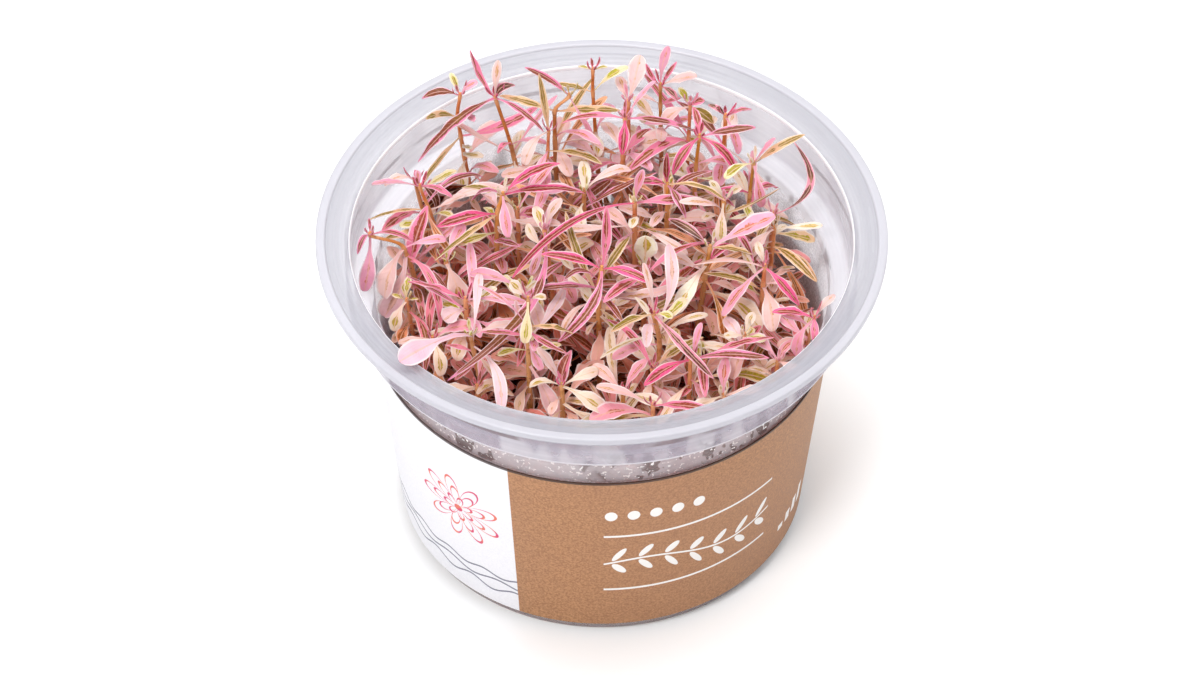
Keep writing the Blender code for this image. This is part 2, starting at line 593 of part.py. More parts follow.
def build_gel():
    """The disc of nutrient gel on the cup's floor, with a slightly sagging top."""
    foot = WALL + 0.3 + CLEARANCE
    profile = [
        (0, foot), (FOOT_RADIUS - WALL - 2.0, foot), (body_radius(3) - WALL - CLEARANCE - 0.2, 3.0),
        (body_radius(GEL_TOP) - WALL - CLEARANCE - 0.2, GEL_TOP), (0, GEL_TOP - 0.1),
    ]
    turned("nutrient_gel", profile, CUP_SEGMENTS, material("gel", (0.16, 0.08, 0.05), 0.2, 0.3))


def build_sleeve():
    """The paper sleeve wrapped round the body, with its two ends a little apart at the back."""
    half_gap = math.radians(SLEEVE_GAP_DEGREES / 2)
    step = 2 * math.pi / CUP_SEGMENTS
    start = math.pi / 2
    angles = [start + half_gap] + [start + step * k for k in range(1, CUP_SEGMENTS)]
    angles.append(start + 2 * math.pi - half_gap)
    points, faces = [], []
    for angle in angles:
        for z, outward in ((SLEEVE_BOTTOM, 0), (SLEEVE_BOTTOM, 1), (SLEEVE_TOP, 1), (SLEEVE_TOP, 0)):
            radius = body_radius(z) + CLEARANCE + SLEEVE_THICKNESS * outward
            points.append((radius * math.cos(angle), radius * math.sin(angle), z))
    for k in range(len(angles) - 1):
        here, after = 4 * k, 4 * k + 4
        faces += [(here + c, after + c, after + (c + 1) % 4, here + (c + 1) % 4) for c in range(4)]
    end = 4 * (len(angles) - 1)
    faces += [(0, 1, 2, 3), (end + 3, end + 2, end + 1, end)]
    add_object("paper_sleeve", points, faces, [material("printed_paper", (0.46, 0.24, 0.13), 0.6)])


def build_shoots():
    """Every shoot as its own solid, with a material for the stem and one for each leaf tint."""
    names = ["stem"] + list(TINTS)
    mats = [material("stem", STEM_COLOUR, 0.45)]
    mats += [material("leaf_" + tint, colour, 0.4) for tint, colour in TINTS.items()]
    for number, (stem, grown) in enumerate(plan_shoots(), 1):
        points, faces, tints = shoot_mesh(stem, grown)
        obj = add_object(f"shoot_{number:02d}", points, faces, mats)
        for polygon, tint in zip(obj.data.polygons, tints):
            polygon.material_index = names.index(tint)


def main():
    for obj in list(bpy.data.objects):
        bpy.data.objects.remove(obj, do_unlink=True)
    build_cup()
    build_gel()
    build_sleeve()
    build_shoots()


main()
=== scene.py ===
import math
import random
from collections import namedtuple

import bpy
from mathutils import Matrix, Vector
from mathutils.bvhtree import BVHTree


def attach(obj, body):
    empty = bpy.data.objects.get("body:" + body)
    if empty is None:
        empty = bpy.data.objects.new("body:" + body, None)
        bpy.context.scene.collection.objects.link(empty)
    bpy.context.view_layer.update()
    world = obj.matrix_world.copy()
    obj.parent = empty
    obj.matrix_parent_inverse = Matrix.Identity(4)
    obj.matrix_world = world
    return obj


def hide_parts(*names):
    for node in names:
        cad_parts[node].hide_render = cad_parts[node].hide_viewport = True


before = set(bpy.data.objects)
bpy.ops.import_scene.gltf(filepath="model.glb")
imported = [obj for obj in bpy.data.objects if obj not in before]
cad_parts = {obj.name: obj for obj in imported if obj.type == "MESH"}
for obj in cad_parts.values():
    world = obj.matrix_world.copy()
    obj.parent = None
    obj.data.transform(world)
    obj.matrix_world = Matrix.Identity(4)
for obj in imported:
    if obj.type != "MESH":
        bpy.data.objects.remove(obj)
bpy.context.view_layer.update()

# Lengths are in millimetres up to the point where a mesh is made.
MM = 0.001

# The cup, its sleeve and its gel, as the solids have them
RIM_RADIUS = 47.5
HEIGHT = 61.5
FOOT_RADIUS = 34.2
BODY_TOP = 50.0
BODY_TOP_RADIUS = 39.0
COLLAR_RADIUS = 42.7
COLLAR_TOP = 59.6
COLLAR_DRAFT = 0.4
WALL = 0.9
LIP_HEIGHT = 1.2
SLEEVE_BOTTOM = 2.5
SLEEVE_TOP = 41.7
SLEEVE_THICKNESS = 0.3
SLEEVE_GAP_DEGREES = 5.0
GEL_TOP = 16.8
CLEARANCE = 0.3

# The shoots' plan, as the solids have it
STEM_HALF = 0.55
STEM_FOOT = GEL_TOP + CLEARANCE
BUD = 1.4
BLADE_THICKNESS = 0.5
STALK_FROM = 0.06
KNEE_AT = 0.45
GEL_MARGIN = 1.0
MOUTH_MARGIN = 1.0
SIGHT_STEP = 0.7
SPARSE = 3
LOWER_NODE_DROP = 9.0
FILLER_SHOOTS = 6
FILLER_SPOTS = 80
FILLER_REACH = 31.0
FILLER_SPACE = 4.5
GOLDEN_ANGLE = math.radians(137.5)
SEED = 17

# Length, width and rise of the leaves that are generated for lower nodes and for filler shoots
LOWER_LEAF = (8.5, 2.8, 1.0)
FILLER_LEAF = (11, 2.5, 2.5)

# Shoots read from the photograph. Two numbers are the foot (x, y) of the next shoot, three are a node
# on it (x, y, z), top one first, and a longer row is a leaf of that node: the reach from node to tip
# (x, y, z), how far its middle bows upwards, its width, its tint and any bow to its left.
SHOOTS = (
    (-9, 24), (-18, 28, 65.5), (-4.5, 4, 7.5, -1, 2.3, "rose"), (0.5, 3, 6, 0.5, 1.8, "pale"),
    (-13, -11, -4.5, 2.5, 3, "brown"), (8.5, -6, -2, 1.5, 2.2, "brown"), (-15.5, 26.5, 56),
    (-3, -5, 3, 1, 2.2, "rose"), (6, -2, 2, 1, 2.2, "pink"),
    (-19, 25), (-24, 28, 66), (-6.5, -0.5, 0, 1, 2, "brown"), (3, 1, 2.5, 0.5, 1.8, "pink"),
    (-1.5, 2, 3.5, 0, 1.4, "lime"), (-24.5, 28, 61), (-5.5, -1, 1, 0.5, 2.2, "olive"),
    (4, -3, 3, 0.5, 2, "pink"),
    (-21, 10), (-30.5, 11.5, 60.5), (-8, -1, 1.5, 1, 2, "pink"), (5.5, -2.5, 0, 1, 2, "rose"),
    (-0.5, 1.5, 2.5, 0, 1.4, "pink"), (-29, 11, 55.5), (-10.5, -3.5, 1.5, 1, 1.4, "olive"),
    (6, 2, 2, 0, 1.8, "pale"),
    (-18, 6), (-16.5, 8, 62), (9.5, 3, 5, 1, 2.6, "hot"), (-5.5, -0.5, -0.5, 1.5, 2.2, "brown"),
    (1, -7, -3, 1.5, 2.4, "pink"), (14, 1, 0.5, 1, 2.3, "hot"), (-17.5, 7.5, 58),
    (-10, -2.5, -0.5, 1.2, 2.6, "hot"), (-13, -8.5, 0.5, 1, 2, "olive"),
    (10.5, -0.5, -1, -1, 2.4, "pale"),
    (6, 8), (5.5, 7.5, 60.5), (-21.5, -14, -3, 4.5, 2.4, "hot"), (12, 1.5, -1, 1, 2.4, "rose"),
    (1, 3, 5, 0, 1.8, "pink"),
    (-6, 1), (-9.5, 2, 59.5), (-23.5, -24, -3, 0.5, 2.2, "brown", 4.5), (3, 2.5, 5, 0.5, 2, "pale"),
    (-17, -15), (-21.5, -19, 56), (-11, -12.5, 6.5, 2, 3.4, "paddle"), (7.5, 2, 1, 1, 2.6, "pale"),
    (-28, 4), (-38.5, 1, 59.5), (-2, -4, -0.5, 1.5, 1.4, "brown"), (7.5, -1, -0.5, 1.5, 2.2, "rose"),
    (-1, -5, -8, 0.5, 3, "pink"), (-33, 1.5, 56), (-3, -5.5, -6, 1.5, 4, "pale"),
    (7, 2, 0, 1, 2.2, "pink"),
    (-29, -5), (-32.5, -5.5, 50.5), (0.5, 1.5, 4.5, 0.3, 1.5, "lime"), (-2.5, 0.5, 1, 0.3, 1.2, "lime"),
    (2, -0.5, 1, 0.2, 1.2, "lime"), (-2, -4, -3, 1, 2.6, "cream"),
    (-25, 17), (-31.5, 15, 58.5), (3, -3, -5.5, 1.5, 2.2, "dark"), (-5, -3, 2, 1.2, 2.4, "pale"),
    (-6, 24), (-5.5, 29, 65), (-7.5, 2, 5, 0.5, 1.6, "brown"), (4, -5, -5, 0.5, 1.4, "pink"),
    (-8, 28, 62.5), (-9.5, 2.5, 1.5, 0.5, 2.2, "olive"), (11, 1, 1, -0.5, 2.2, "olive"),
    (-11, 19), (-9, 24.5, 61), (-1.2, 5.5, 8.5, 0.5, 1.8, "olive"), (-4, -5, -3, 1.5, 2.4, "pale"),
    (1, 27), (-1.5, 30.5, 69.5), (-2.5, 0.5, 0.5, 0.3, 1.4, "lime"), (2.5, 0.5, 0.5, 0.3, 1.4, "lime"),
    (-1.5, 30.5, 64.5), (6, 2.5, 4, 0.5, 1.7, "lime"), (-6.5, 1, 1, 0.5, 1.6, "olive"),
    (2, 20), (4, 24, 64.5), (5, 3, 6, 0.5, 1.5, "pink"), (-0.5, -4.5, -4, 1, 2.5, "hot"),
    (-11, 0.5, -1, 0.6, 1.8, "rose"), (12, -3.5, -1, 1, 2.4, "brown"),
    (15, 17), (16.5, 20, 64), (9.5, 1, 1.5, 0.6, 2.2, "brown"), (-4.5, -5, -4, 1, 2.6, "hot"),
    (6.5, -4, -4.5, 1.5, 2.4, "hot"), (-2, 3, 4, 0.5, 1.8, "rose"), (16, 19.5, 58),
    (7, -1, 1, 1, 2.4, "pink"), (-6, 1, 1, 1, 2.2, "olive"),
    (11, 28), (10, 30.5, 66), (1.3, 3.5, 6, 0.3, 2, "pink"), (-2, 2.5, 3.5, -0.5, 1.3, "rose"),
    (2.6, 2.5, 3.5, -0.3, 1.2, "rose"), (3, -2.5, -1, 0.5, 1.8, "dark"), (6, 1.5, 2, 0.5, 2.6, "pale"),
    (10, 30, 62), (-4, 1, 1, 0.5, 1.4, "pale"), (3.5, 1, 1, 0.3, 1.4, "rose"),
    (5, 26), (4.5, 29, 63.5), (2, 5, 6.5, 0.5, 3.4, "pale"), (-2, 3.5, 5, 0.5, 2.4, "pale"),
    (20, 22), (21, 25.5, 63.5), (-3, 1, 2, 0.6, 1.4, "dark"), (4.5, 0.5, 1.5, 0.6, 1.9, "rose"),
    (2, -6, -3, 1.2, 2.4, "pink"),
    (14, 25), (15, 28, 63.5), (-2, 1.5, 3, 0.3, 1.8, "lime"), (2.5, 0.5, 1, 0.5, 2.2, "rose"),
    (4, -2, -2, 0.5, 2.4, "olive"), (-4.5, -1.5, -2, 0.8, 2.8, "pale"),
    (22, 10), (25.5, 15, 62.5), (8.5, 3, 4.5, 0.5, 1.9, "olive"), (3.5, 1, 5, 0.3, 1.6, "pink"),
    (-5, -3.5, 0, 1, 2, "lime"), (1.5, -4.5, -6, 1.2, 2.2, "pink"), (25, 14, 56.5),
    (5, 3, -1, 1, 2.2, "rose"), (-6, -1, 1, 1, 2.2, "hot"),
    (27, 9), (29, 11, 54.5), (3.5, 12, 5.5, 0, 1.8, "dark", -4.4), (-3, -5, -1, 1, 2.2, "olive"),
    (11, 8), (11, 11, 61.5), (-0.2, 2, 5.5, 0.3, 1.8, "hot"), (-5, 0, 0.5, 0.5, 2.3, "hot"),
    (3, -5.5, -2.5, 1, 2, "brown"), (10, -3, -0.5, 1, 1.8, "olive"),
    (19, 7), (20.5, 10.5, 58), (-2.5, 2, 3, 0.5, 1.8, "cream"), (3, 1.5, 2, 0.5, 1.8, "cream"),
    (-0.5, -6, -4, 1.2, 2.2, "cream"),
    (14, -5), (18, -1.5, 59), (10.8, 4, 3, 1, 4, "pink"), (7, -1.5, 0, 0.6, 2.4, "olive"),
    (-7, 5.5, 2, 1, 1.9, "dark"), (17.5, -2, 55.5), (-15, -9, 1, -1.5, 2.6, "pale"),
    (-6, -6.5, -4, 1, 3, "cream"), (4, 5, 0, 1, 2.4, "hot"),
    (26, -5), (27, -4.5, 57.5), (-7, -7.5, -4, 1, 2.6, "pink"), (5.5, -4, -5, 1, 2.5, "hot"),
    (-12, 0.5, 0.5, 1, 3, "pale"), (-1.5, 3, 3, 0.3, 1.6, "cream"),
    (7, 1), (7, 2, 51), (0.3, 3, 4.5, 0.3, 4.4, "cream"), (-5, -3, 1, 1, 2.6, "pink"),
    (30, -12), (35, -14.5, 55.5), (-7, 0.5, 1, 0.6, 2.7, "hot"), (3.4, 4, 1.5, 0.5, 1.8, "pale"),
    (-2.8, -3, -6, 1.5, 2.6, "pink"), (0.5, -5, -2, 2.2, 1.8, "rose"),
    (27, 3), (29, 6.5, 55.5), (8, -0.5, 1, 0.6, 1.7, "cream"), (-4, -5, -2, 1.2, 2.6, "pale"),
    (0, -9), (0, -7, 59.5), (-10, 1.5, 2, 0.8, 2.3, "hot"), (8, -3, -0.5, 1.3, 2.5, "hot"),
    (0.7, 5.5, 9, -0.5, 2.2, "rose"), (-7.5, -12, -4.5, 0.5, 2.4, "brown", 2.5), (-0.5, -7.5, 55.5),
    (-12.5, -2, 1, 1, 2.3, "brown"), (6, -2.5, -0.5, 0.6, 2.2, "dark"),
    (-11, -21), (-12, -17.5, 63), (-0.5, -4.5, -5.5, 0.6, 2.2, "lime"), (-3, 1.5, 2.5, 0.4, 2.3, "cream"),
    (3, 0.5, 0, 0.4, 1.4, "cream"), (-12, -20, 47.5), (-9, -4, 1, 1, 3, "cream"),
    (7, 0.5, 2, 1, 2.2, "pale"),
    (-6, -27), (-6.5, -26.5, 52), (-5.5, 0, 0, 0.8, 2.2, "cream"), (6, 3, 0.5, 0.8, 2.2, "cream"),
    (-4, 3, 6, 0.5, 2, "pale"), (7, -4, -2, 1, 3.4, "cream"),
    (8, -17), (8.5, -17.5, 59.5), (-7, -3, -1, 1, 2.5, "olive"), (3.2, -0.5, 0, 0.3, 1.6, "lime"),
    (-1.7, 4, 8, 0.3, 1.4, "pale"), (9.5, -9, -6, 1, 2.3, "dark"), (9.5, -17, 52),
    (12, -2, 0, 0.8, 1.9, "cream"), (-8, -2, -1, 1, 2.4, "pink"),
    (14, -24), (14.5, -22.5, 54), (12.8, -0.5, 0.5, 1, 2.5, "brown"), (-7.5, -4, -2, 1, 2.9, "hot"),
    (2, 2.5, 6, 0.3, 1.7, "pink"),
    (22, -15), (23.5, -16.5, 53.5), (-3.5, -0.5, 0.5, 0.3, 2.4, "cream"), (3.5, -1, 0, 0.3, 2.4, "lime"),
    (1.5, 2.5, 3, 0.3, 1.8, "cream"), (-2, -7, -3, 1, 3, "pale"),
    (-19, -21), (-20.5, -23, 48), (-6, -2, 1, 0.6, 2.6, "cream"), (6.5, -3, 0.5, 0.6, 2.6, "cream"),
    (1, 4, 4, 0.5, 2.4, "pink"),
    (20, -25), (20, -26, 49), (7, -1, 0, 0.8, 2.8, "pale"), (-6, -4.5, 0.5, 0.8, 2.6, "cream"),
    (0, 4, 5, 0.5, 2.6, "pink"),
    (-26, -13), (-28, -14, 50), (-5.5, -2.5, 1.5, 0.8, 3, "pale"), (7, 1.5, 2, 0.8, 2.6, "pink"),
    (1.5, -6.5, -2, 1, 2.6, "cream"),
    (-24, 1), (-26, 1, 53), (3, -7, -3, 1.2, 4, "pale"), (3, 5, 4, 0.8, 2.6, "pink"),
    (3, -24), (3.5, -26, 49.5), (6, -4, 1, 0.8, 2.6, "cream"), (-5, 4, 3, 0.6, 2.4, "pale"),
    (4, 4, 4, 0.5, 2.4, "pink"),
    (27, -17.5), (29, -19.5, 50.5), (3.5, -4.5, 1.5, 0.6, 2.6, "pale"), (-5, 3, 3, 0.6, 2.6, "pink"),
    (-12, -7), (-13, -7, 54.5), (-9, 3, 1.5, 1, 2.8, "pink"), (3, -8, -1, 1, 2.8, "pale"),
    (-3, 12), (-3, 13, 58), (8, 4, 2, 1, 2.8, "pale"), (-7, -1.5, 1.5, 1, 2.6, "pink"),
)

Spec = namedtuple("Spec", "x y z bow width tint side_bow", defaults=(0,))
Leaf = namedtuple("Leaf", "root knee tip width tint")
Stem = namedtuple("Stem", "points facing")


def srgb(*colour):
    """Linear colour of a screen colour given from 0 to 255."""
    shares = [c / 255 for c in colour]
    return tuple(c / 12.92 if c < 0.0404 else ((c + 0.055) / 1.055) ** 2.4 for c in shares)


# Leaf tints: screen colours of the margin and the heart, half width of the heart as a share of the
# blade's, and where along the leaf the heart starts and ends
Tint = namedtuple("Tint", "margin heart cover start end")
TINTS = {
    "brown": Tint((246, 152, 196), (152, 74, 44), 0.74, 0.10, 0.99),
    "hot": Tint((250, 104, 166), (166, 62, 46), 0.56, 0.16, 0.97),
    "pink": Tint((252, 190, 214), (222, 128, 92), 0.26, 0.35, 0.92),
    "pale": Tint((254, 226, 222), (226, 174, 106), 0.20, 0.55, 0.94),
    "peach": Tint((253, 212, 182), (222, 146, 74), 0.34, 0.40, 0.95),
    "tan": Tint((248, 194, 148), (196, 118, 46), 0.50, 0.25, 0.97),
    "rose": Tint((250, 150, 188), (176, 76, 54), 0.54, 0.30, 0.97),
    "cream": Tint((255, 244, 226), (214, 190, 74), 0.34, 0.50, 0.94),
    "olive": Tint((246, 214, 170), (164, 138, 34), 0.72, 0.16, 0.99),
    "lime": Tint((254, 248, 204), (206, 200, 48), 0.58, 0.30, 0.95),
    "dark": Tint((240, 164, 186), (110, 58, 38), 0.78, 0.10, 0.99),
    "paddle": Tint((252, 222, 234), (246, 196, 216), 0.30, 0.30, 0.70),
    "veil": Tint((253, 224, 230), (246, 196, 184), 0.22, 0.55, 0.92),
    "blush": Tint((251, 196, 188), (228, 140, 100), 0.28, 0.40, 0.94),
    "dead": Tint((150, 72, 30), (78, 34, 22), 0.78, 0.02, 0.99),
}
MIDRIB = srgb(252, 208, 176)
STEM_LOW = srgb(150, 84, 12)
STEM_MIDDLE = srgb(208, 130, 34)
STEM_TOP = srgb(226, 146, 80)
STEM_HUES = [srgb(*hue) for hue in (
    (134, 104, 14), (220, 154, 34), (208, 98, 48), (158, 88, 20), (226, 122, 100))]


def read_shoots():
    """Feet of the shoots in the table above, and the nodes of each, [(place, [leaf, ...]), ...]."""
    feet, nodes = [], []
    for row in SHOOTS:
        if len(row) == 2:
            feet.append(Vector(row))
            nodes.append([])
        elif len(row) == 3:
            nodes[-1].append((row, []))
        else:
            nodes[-1][-1][1].append(row)
    return feet, nodes


def skin(low, high):
    """Faces from one ring of points to the next. A ring of one point gives triangles."""
    faces = []
    for k in range(max(len(low), len(high))):
        turns = ((low, k), (low, k + 1), (high, k + 1), (high, k))
        faces.append(tuple(dict.fromkeys(ring[j % len(ring)] for ring, j in turns)))
    return faces


def polar(radius, angle, z):
    """Place at a distance and an angle round the z axis, at height z."""
    return radius * math.cos(angle), radius * math.sin(angle), z


def body_radius(z):
    """Outside radius of the cup's tapered body at height z."""
    return FOOT_RADIUS + (BODY_TOP_RADIUS - FOOT_RADIUS) * z / BODY_TOP


def inside_radius(z):
    """Radius of the free space inside the cup at height z."""
    if z < BODY_TOP + WALL:
        return body_radius(z) - WALL
    if z < COLLAR_TOP + WALL:
        return COLLAR_RADIUS - WALL - COLLAR_DRAFT
    return RIM_RADIUS


def leaf_frame(leaf, t):
    """Point on a leaf's midrib at t, from 0 at the node to 1 at the tip, and the blade's sideways and
    upward directions there."""
    point = leaf.root * (1 - t) ** 2 + leaf.knee * (2 * t * (1 - t)) + leaf.tip * t ** 2
    along = ((leaf.knee - leaf.root) * (1 - t) + (leaf.tip - leaf.knee) * t).normalized()
    reach = leaf.tip - leaf.root
    side = Vector((-reach.y, reach.x, 0)).normalized()
    return point, side, along.cross(side).normalized()


def outline(t, slender):
    """Share of the full blade width at t, as the solids have it."""
    blade = math.sin(math.pi * t ** (0.85 if slender else 1.35)) ** 0.8 if t < 1 else 0
    stalk = 0.30 * max(0, 1 - t / 0.5)
    return min(1, blade + stalk)


def make_leaf(node, reach, bow, width, tint, side_bow=0):
    """A leaf from a node: its midrib is a parabola whose middle bows off the chord."""
    reach = Vector(reach)
    sideways = Vector((-reach.y, reach.x, 0)).normalized()
    upward = reach.cross(sideways).normalized()
    knee = node + reach * KNEE_AT + (upward * bow + sideways * side_bow) * 2
    return Leaf(node, knee, node + reach, width, tint)


def stations(leaf):
    """Places along a leaf where its solid has a section."""
    length = (leaf.tip - leaf.root).length
    for limit, places in ((4.5, (0.55,)), (12, (0.25, 0.62)), (20, (0.2, 0.45, 0.75))):
        if length < limit:
            return places
    return (0.14, 0.32, 0.55, 0.8)


def section(leaf, t, grow=0.0):
    """Four corners of the solid's flat section at t."""
    point, side, up = leaf_frame(leaf, t)
    slender = leaf.width < 0.25 * (leaf.tip - leaf.root).length
    half = side * (leaf.width * outline(t, slender) / 2 + grow)
    rise = up * (BLADE_THICKNESS / 2 + grow)
    return [point - half - rise, point + half - rise, point + half + rise, point - half + rise]


def tube(rings, tip=None):
    """Mesh round rings of four points, for the clearance tests, ending in a point if there is one."""
    points = [p for ring in rings for p in ring]
    faces = [(3, 2, 1, 0)]
    for low in range(4, len(points), 4):
        faces += skin(range(low - 4, low), range(low, low + 4))
    if tip is not None:
        faces += skin(range(len(points) - 4, len(points)), [len(points)])
        points.append(tip)
    return points, faces


def stem_at(stem, z):
    """Middle of a stem at height z, on straight runs between its points."""
    points = stem.points
    for low, high in zip(points, points[1:]):
        if z <= high.z:
            return low.lerp(high, (z - low.z) / (high.z - low.z))
    return points[-1] + Vector((0, 0, z - points[-1].z))


class Solid:
    """A placed leaf or stem, with search trees for the clearance tests."""

    def __init__(self, owner, whole, blade):
        self.owner = owner
        self.whole = BVHTree.FromPolygons(*whole)
        self.blade = BVHTree.FromPolygons(*blade)
        self.low = Vector([min(p[i] for p in whole[0]) for i in range(3)])
        self.high = Vector([max(p[i] for p in whole[0]) for i in range(3)])

    def meets(self, other):
        """Whether two solids touch. Pieces of one shoot are joined at their node, so only blades count."""
        if any(self.low[i] > other.high[i] or other.low[i] > self.high[i] for i in range(3)):
            return False
        if self.owner == other.owner:
            return bool(self.blade.overlap(other.blade))
        return bool(self.whole.overlap(other.whole))


def solid_leaf(owner, leaf, grow):
    """A leaf as a solid, grown by a clearance: with its stalk, and from its blade on."""
    end = leaf.tip + (leaf.tip - leaf.knee).normalized() * grow
    rings = [section(leaf, t, grow) for t in (STALK_FROM, *stations(leaf))]
    return Solid(owner, tube(rings, end), tube(rings[1:], end))


def solid_stem(owner, stem):
    """A stem as a square solid."""
    turns = [stem.facing + math.radians(90 * k - 45) for k in range(4)]
    reach = STEM_HALF * math.sqrt(2)
    rings = []
    for z in [p.z for p in stem.points] + [stem.points[-1].z + BUD]:
        middle = stem_at(stem, z)
        rings.append([middle + Vector(polar(1, a, 0)) * reach for a in turns])
    return Solid(owner, tube(rings), tube(rings))


def inside_cup(leaf):
    """Whether a leaf clears the cup's wall, its rim and the gel."""
    for step in range(1, 11):
        t = step / 10
        for corner in section(leaf, t) if t < 1 else [leaf.tip]:
            radius = math.hypot(corner.x, corner.y)
            if corner.z < GEL_TOP + GEL_MARGIN or radius > inside_radius(corner.z - CLEARANCE) - CLEARANCE:
                return False
            if radius > COLLAR_RADIUS - WALL - MOUTH_MARGIN and corner.z < HEIGHT + CLEARANCE:
                return False
    return True


def nudges(is_read):
    """Small changes to try on a leaf until it is clear: turn, slide along the line of sight, shrink."""
    turns = (0, 5, -5, 10, -10, 16, -16) if is_read else (0, 14, -14, 28, -28, 44, -44, 60, -60)
    for scale in (1, 0.9, 0.8) if is_read else (1, 0.85, 0.7):
        for slide in (0, 1, -1, 2, -2, 3, -3):
            for turn in turns:
                yield math.radians(turn), slide, scale


def grow_leaf(owner, node, row, placed, tries, clearance=CLEARANCE):
    """Places one leaf clear of all that stands already, or gives None."""
    spec = Spec(*row)
    for turn, slide, scale in tries:
        reach = Matrix.Rotation(turn, 3, "Z") @ (Vector(spec[:3]) * scale)
        reach += Vector((0, -slide, slide)) * SIGHT_STEP
        leaf = make_leaf(node, reach, spec.bow * scale, spec.width, spec.tint, spec.side_bow)
        if not inside_cup(leaf):
            continue
        probe = solid_leaf(owner, leaf, clearance)
        if any(probe.meets(other) for other in placed):
            continue
        placed.append(solid_leaf(owner, leaf, 0))
        return leaf
    return None


def pair_of_leaves(draw, turn, tints, length, width, rise):
    """Two opposite leaves of a generated node."""
    for half in (0, math.pi):
        angle = turn + half + draw.uniform(-0.25, 0.25)
        size = length * draw.uniform(0.85, 1.1)
        reach = polar(size, angle, rise + draw.uniform(-1.5, 1.5))
        yield *reach, draw.uniform(0.5, 1.4), width * draw.uniform(0.85, 1.15), draw.choice(tints)


def generated_nodes(draw, top, turn, count):
    """Nodes under a given height, each a quarter turn from the next, with smaller, paler leaves."""
    z = top
    for level in range(count):
        z -= LOWER_NODE_DROP * draw.uniform(0.85, 1.1)
        tints = ("cream", "pale", "pink", "cream") if level else ("pink", "pale", "rose", "cream")
        yield z, list(pair_of_leaves(draw, turn + level * math.pi / 2, tints, *LOWER_LEAF))


def filler_spots(draw, taken):
    """Feet of the shoots that fill the gaps, on a sunflower spiral, away from the shoots read."""
    spots = []
    for i in range(FILLER_SPOTS):
        radius = FILLER_REACH * math.sqrt((i + 0.5) / FILLER_SPOTS)
        spot = Vector(polar(radius, i * GOLDEN_ANGLE, 0)[:2])
        if all((spot - other).length > FILLER_SPACE for other in taken + spots):
            spots.append(spot)
    draw.shuffle(spots)
    return spots[:FILLER_SHOOTS]


def plan_shoots():
    """Stems and leaves of every shoot, [(stem, [(height, leaf), ...]), ...], and the space they take."""
    draw = random.Random(SEED)
    feet, nodes = read_shoots()
    read = len(feet)
    for spot in filler_spots(draw, feet):
        top = Vector((spot.x * 1.05, spot.y * 1.03, 56 + 0.16 * spot.y + draw.uniform(-2, 2)))
        tints = ("brown", "pink", "rose", "pale", "olive")
        crown = list(pair_of_leaves(draw, draw.uniform(0, math.pi), tints, *FILLER_LEAF))
        feet.append(spot)
        nodes.append([(top, crown)])
    stems, placed = [], []
    for owner, (foot, rows) in enumerate(zip(feet, nodes)):
        points = [Vector((foot.x, foot.y, STEM_FOOT))] + [Vector(place) for place, _ in reversed(rows)]
        first = rows[0][1][0]
        stems.append(Stem(points, math.atan2(first[1], first[0])))
        placed.append(solid_stem(owner, stems[-1]))
    grown = [[] for _ in stems]

    def grow(owner, z, node, specs, is_read):
        for spec in specs:
            leaf = grow_leaf(owner, node, spec, placed, nudges(is_read))
            if leaf:
                grown[owner].append((z, leaf))

    for owner, rows in enumerate(nodes):
        for place, specs in rows:
            grow(owner, place[2], Vector(place), specs, owner < read)
    for owner, rows in enumerate(nodes):
        count = 1 if sum(len(specs) for _, specs in rows) >= SPARSE else 2
        for z, specs in generated_nodes(draw, rows[-1][0][2], stems[owner].facing + math.pi / 2, count):
            grow(owner, z, stem_at(stems[owner], z), specs, False)
    return list(zip(stems, grown)), placed


# The leaves that only this script has. Each kind has its length, its width as a share of that, its
# slope in degrees and its tints.
Kind = namedtuple("Kind", "length width slope tints")
STRAP_TINTS = ("brown", "rose", "olive", "pink", "pale", "tan")
BROAD_TINTS = ("pale", "pink", "peach", "tan", "rose", "cream")
KINDS = {
    "strap": Kind((9.0, 16.0), (0.12, 0.18), (-30, 40), STRAP_TINTS),
    "broad": Kind((8.0, 13.0), (0.26, 0.38), (-55, 55), BROAD_TINTS),
    "small": Kind((4.5, 8.0), (0.26, 0.36), (-20, 45), ("cream", "cream", "pale", "cream", "lime", "pink")),
}

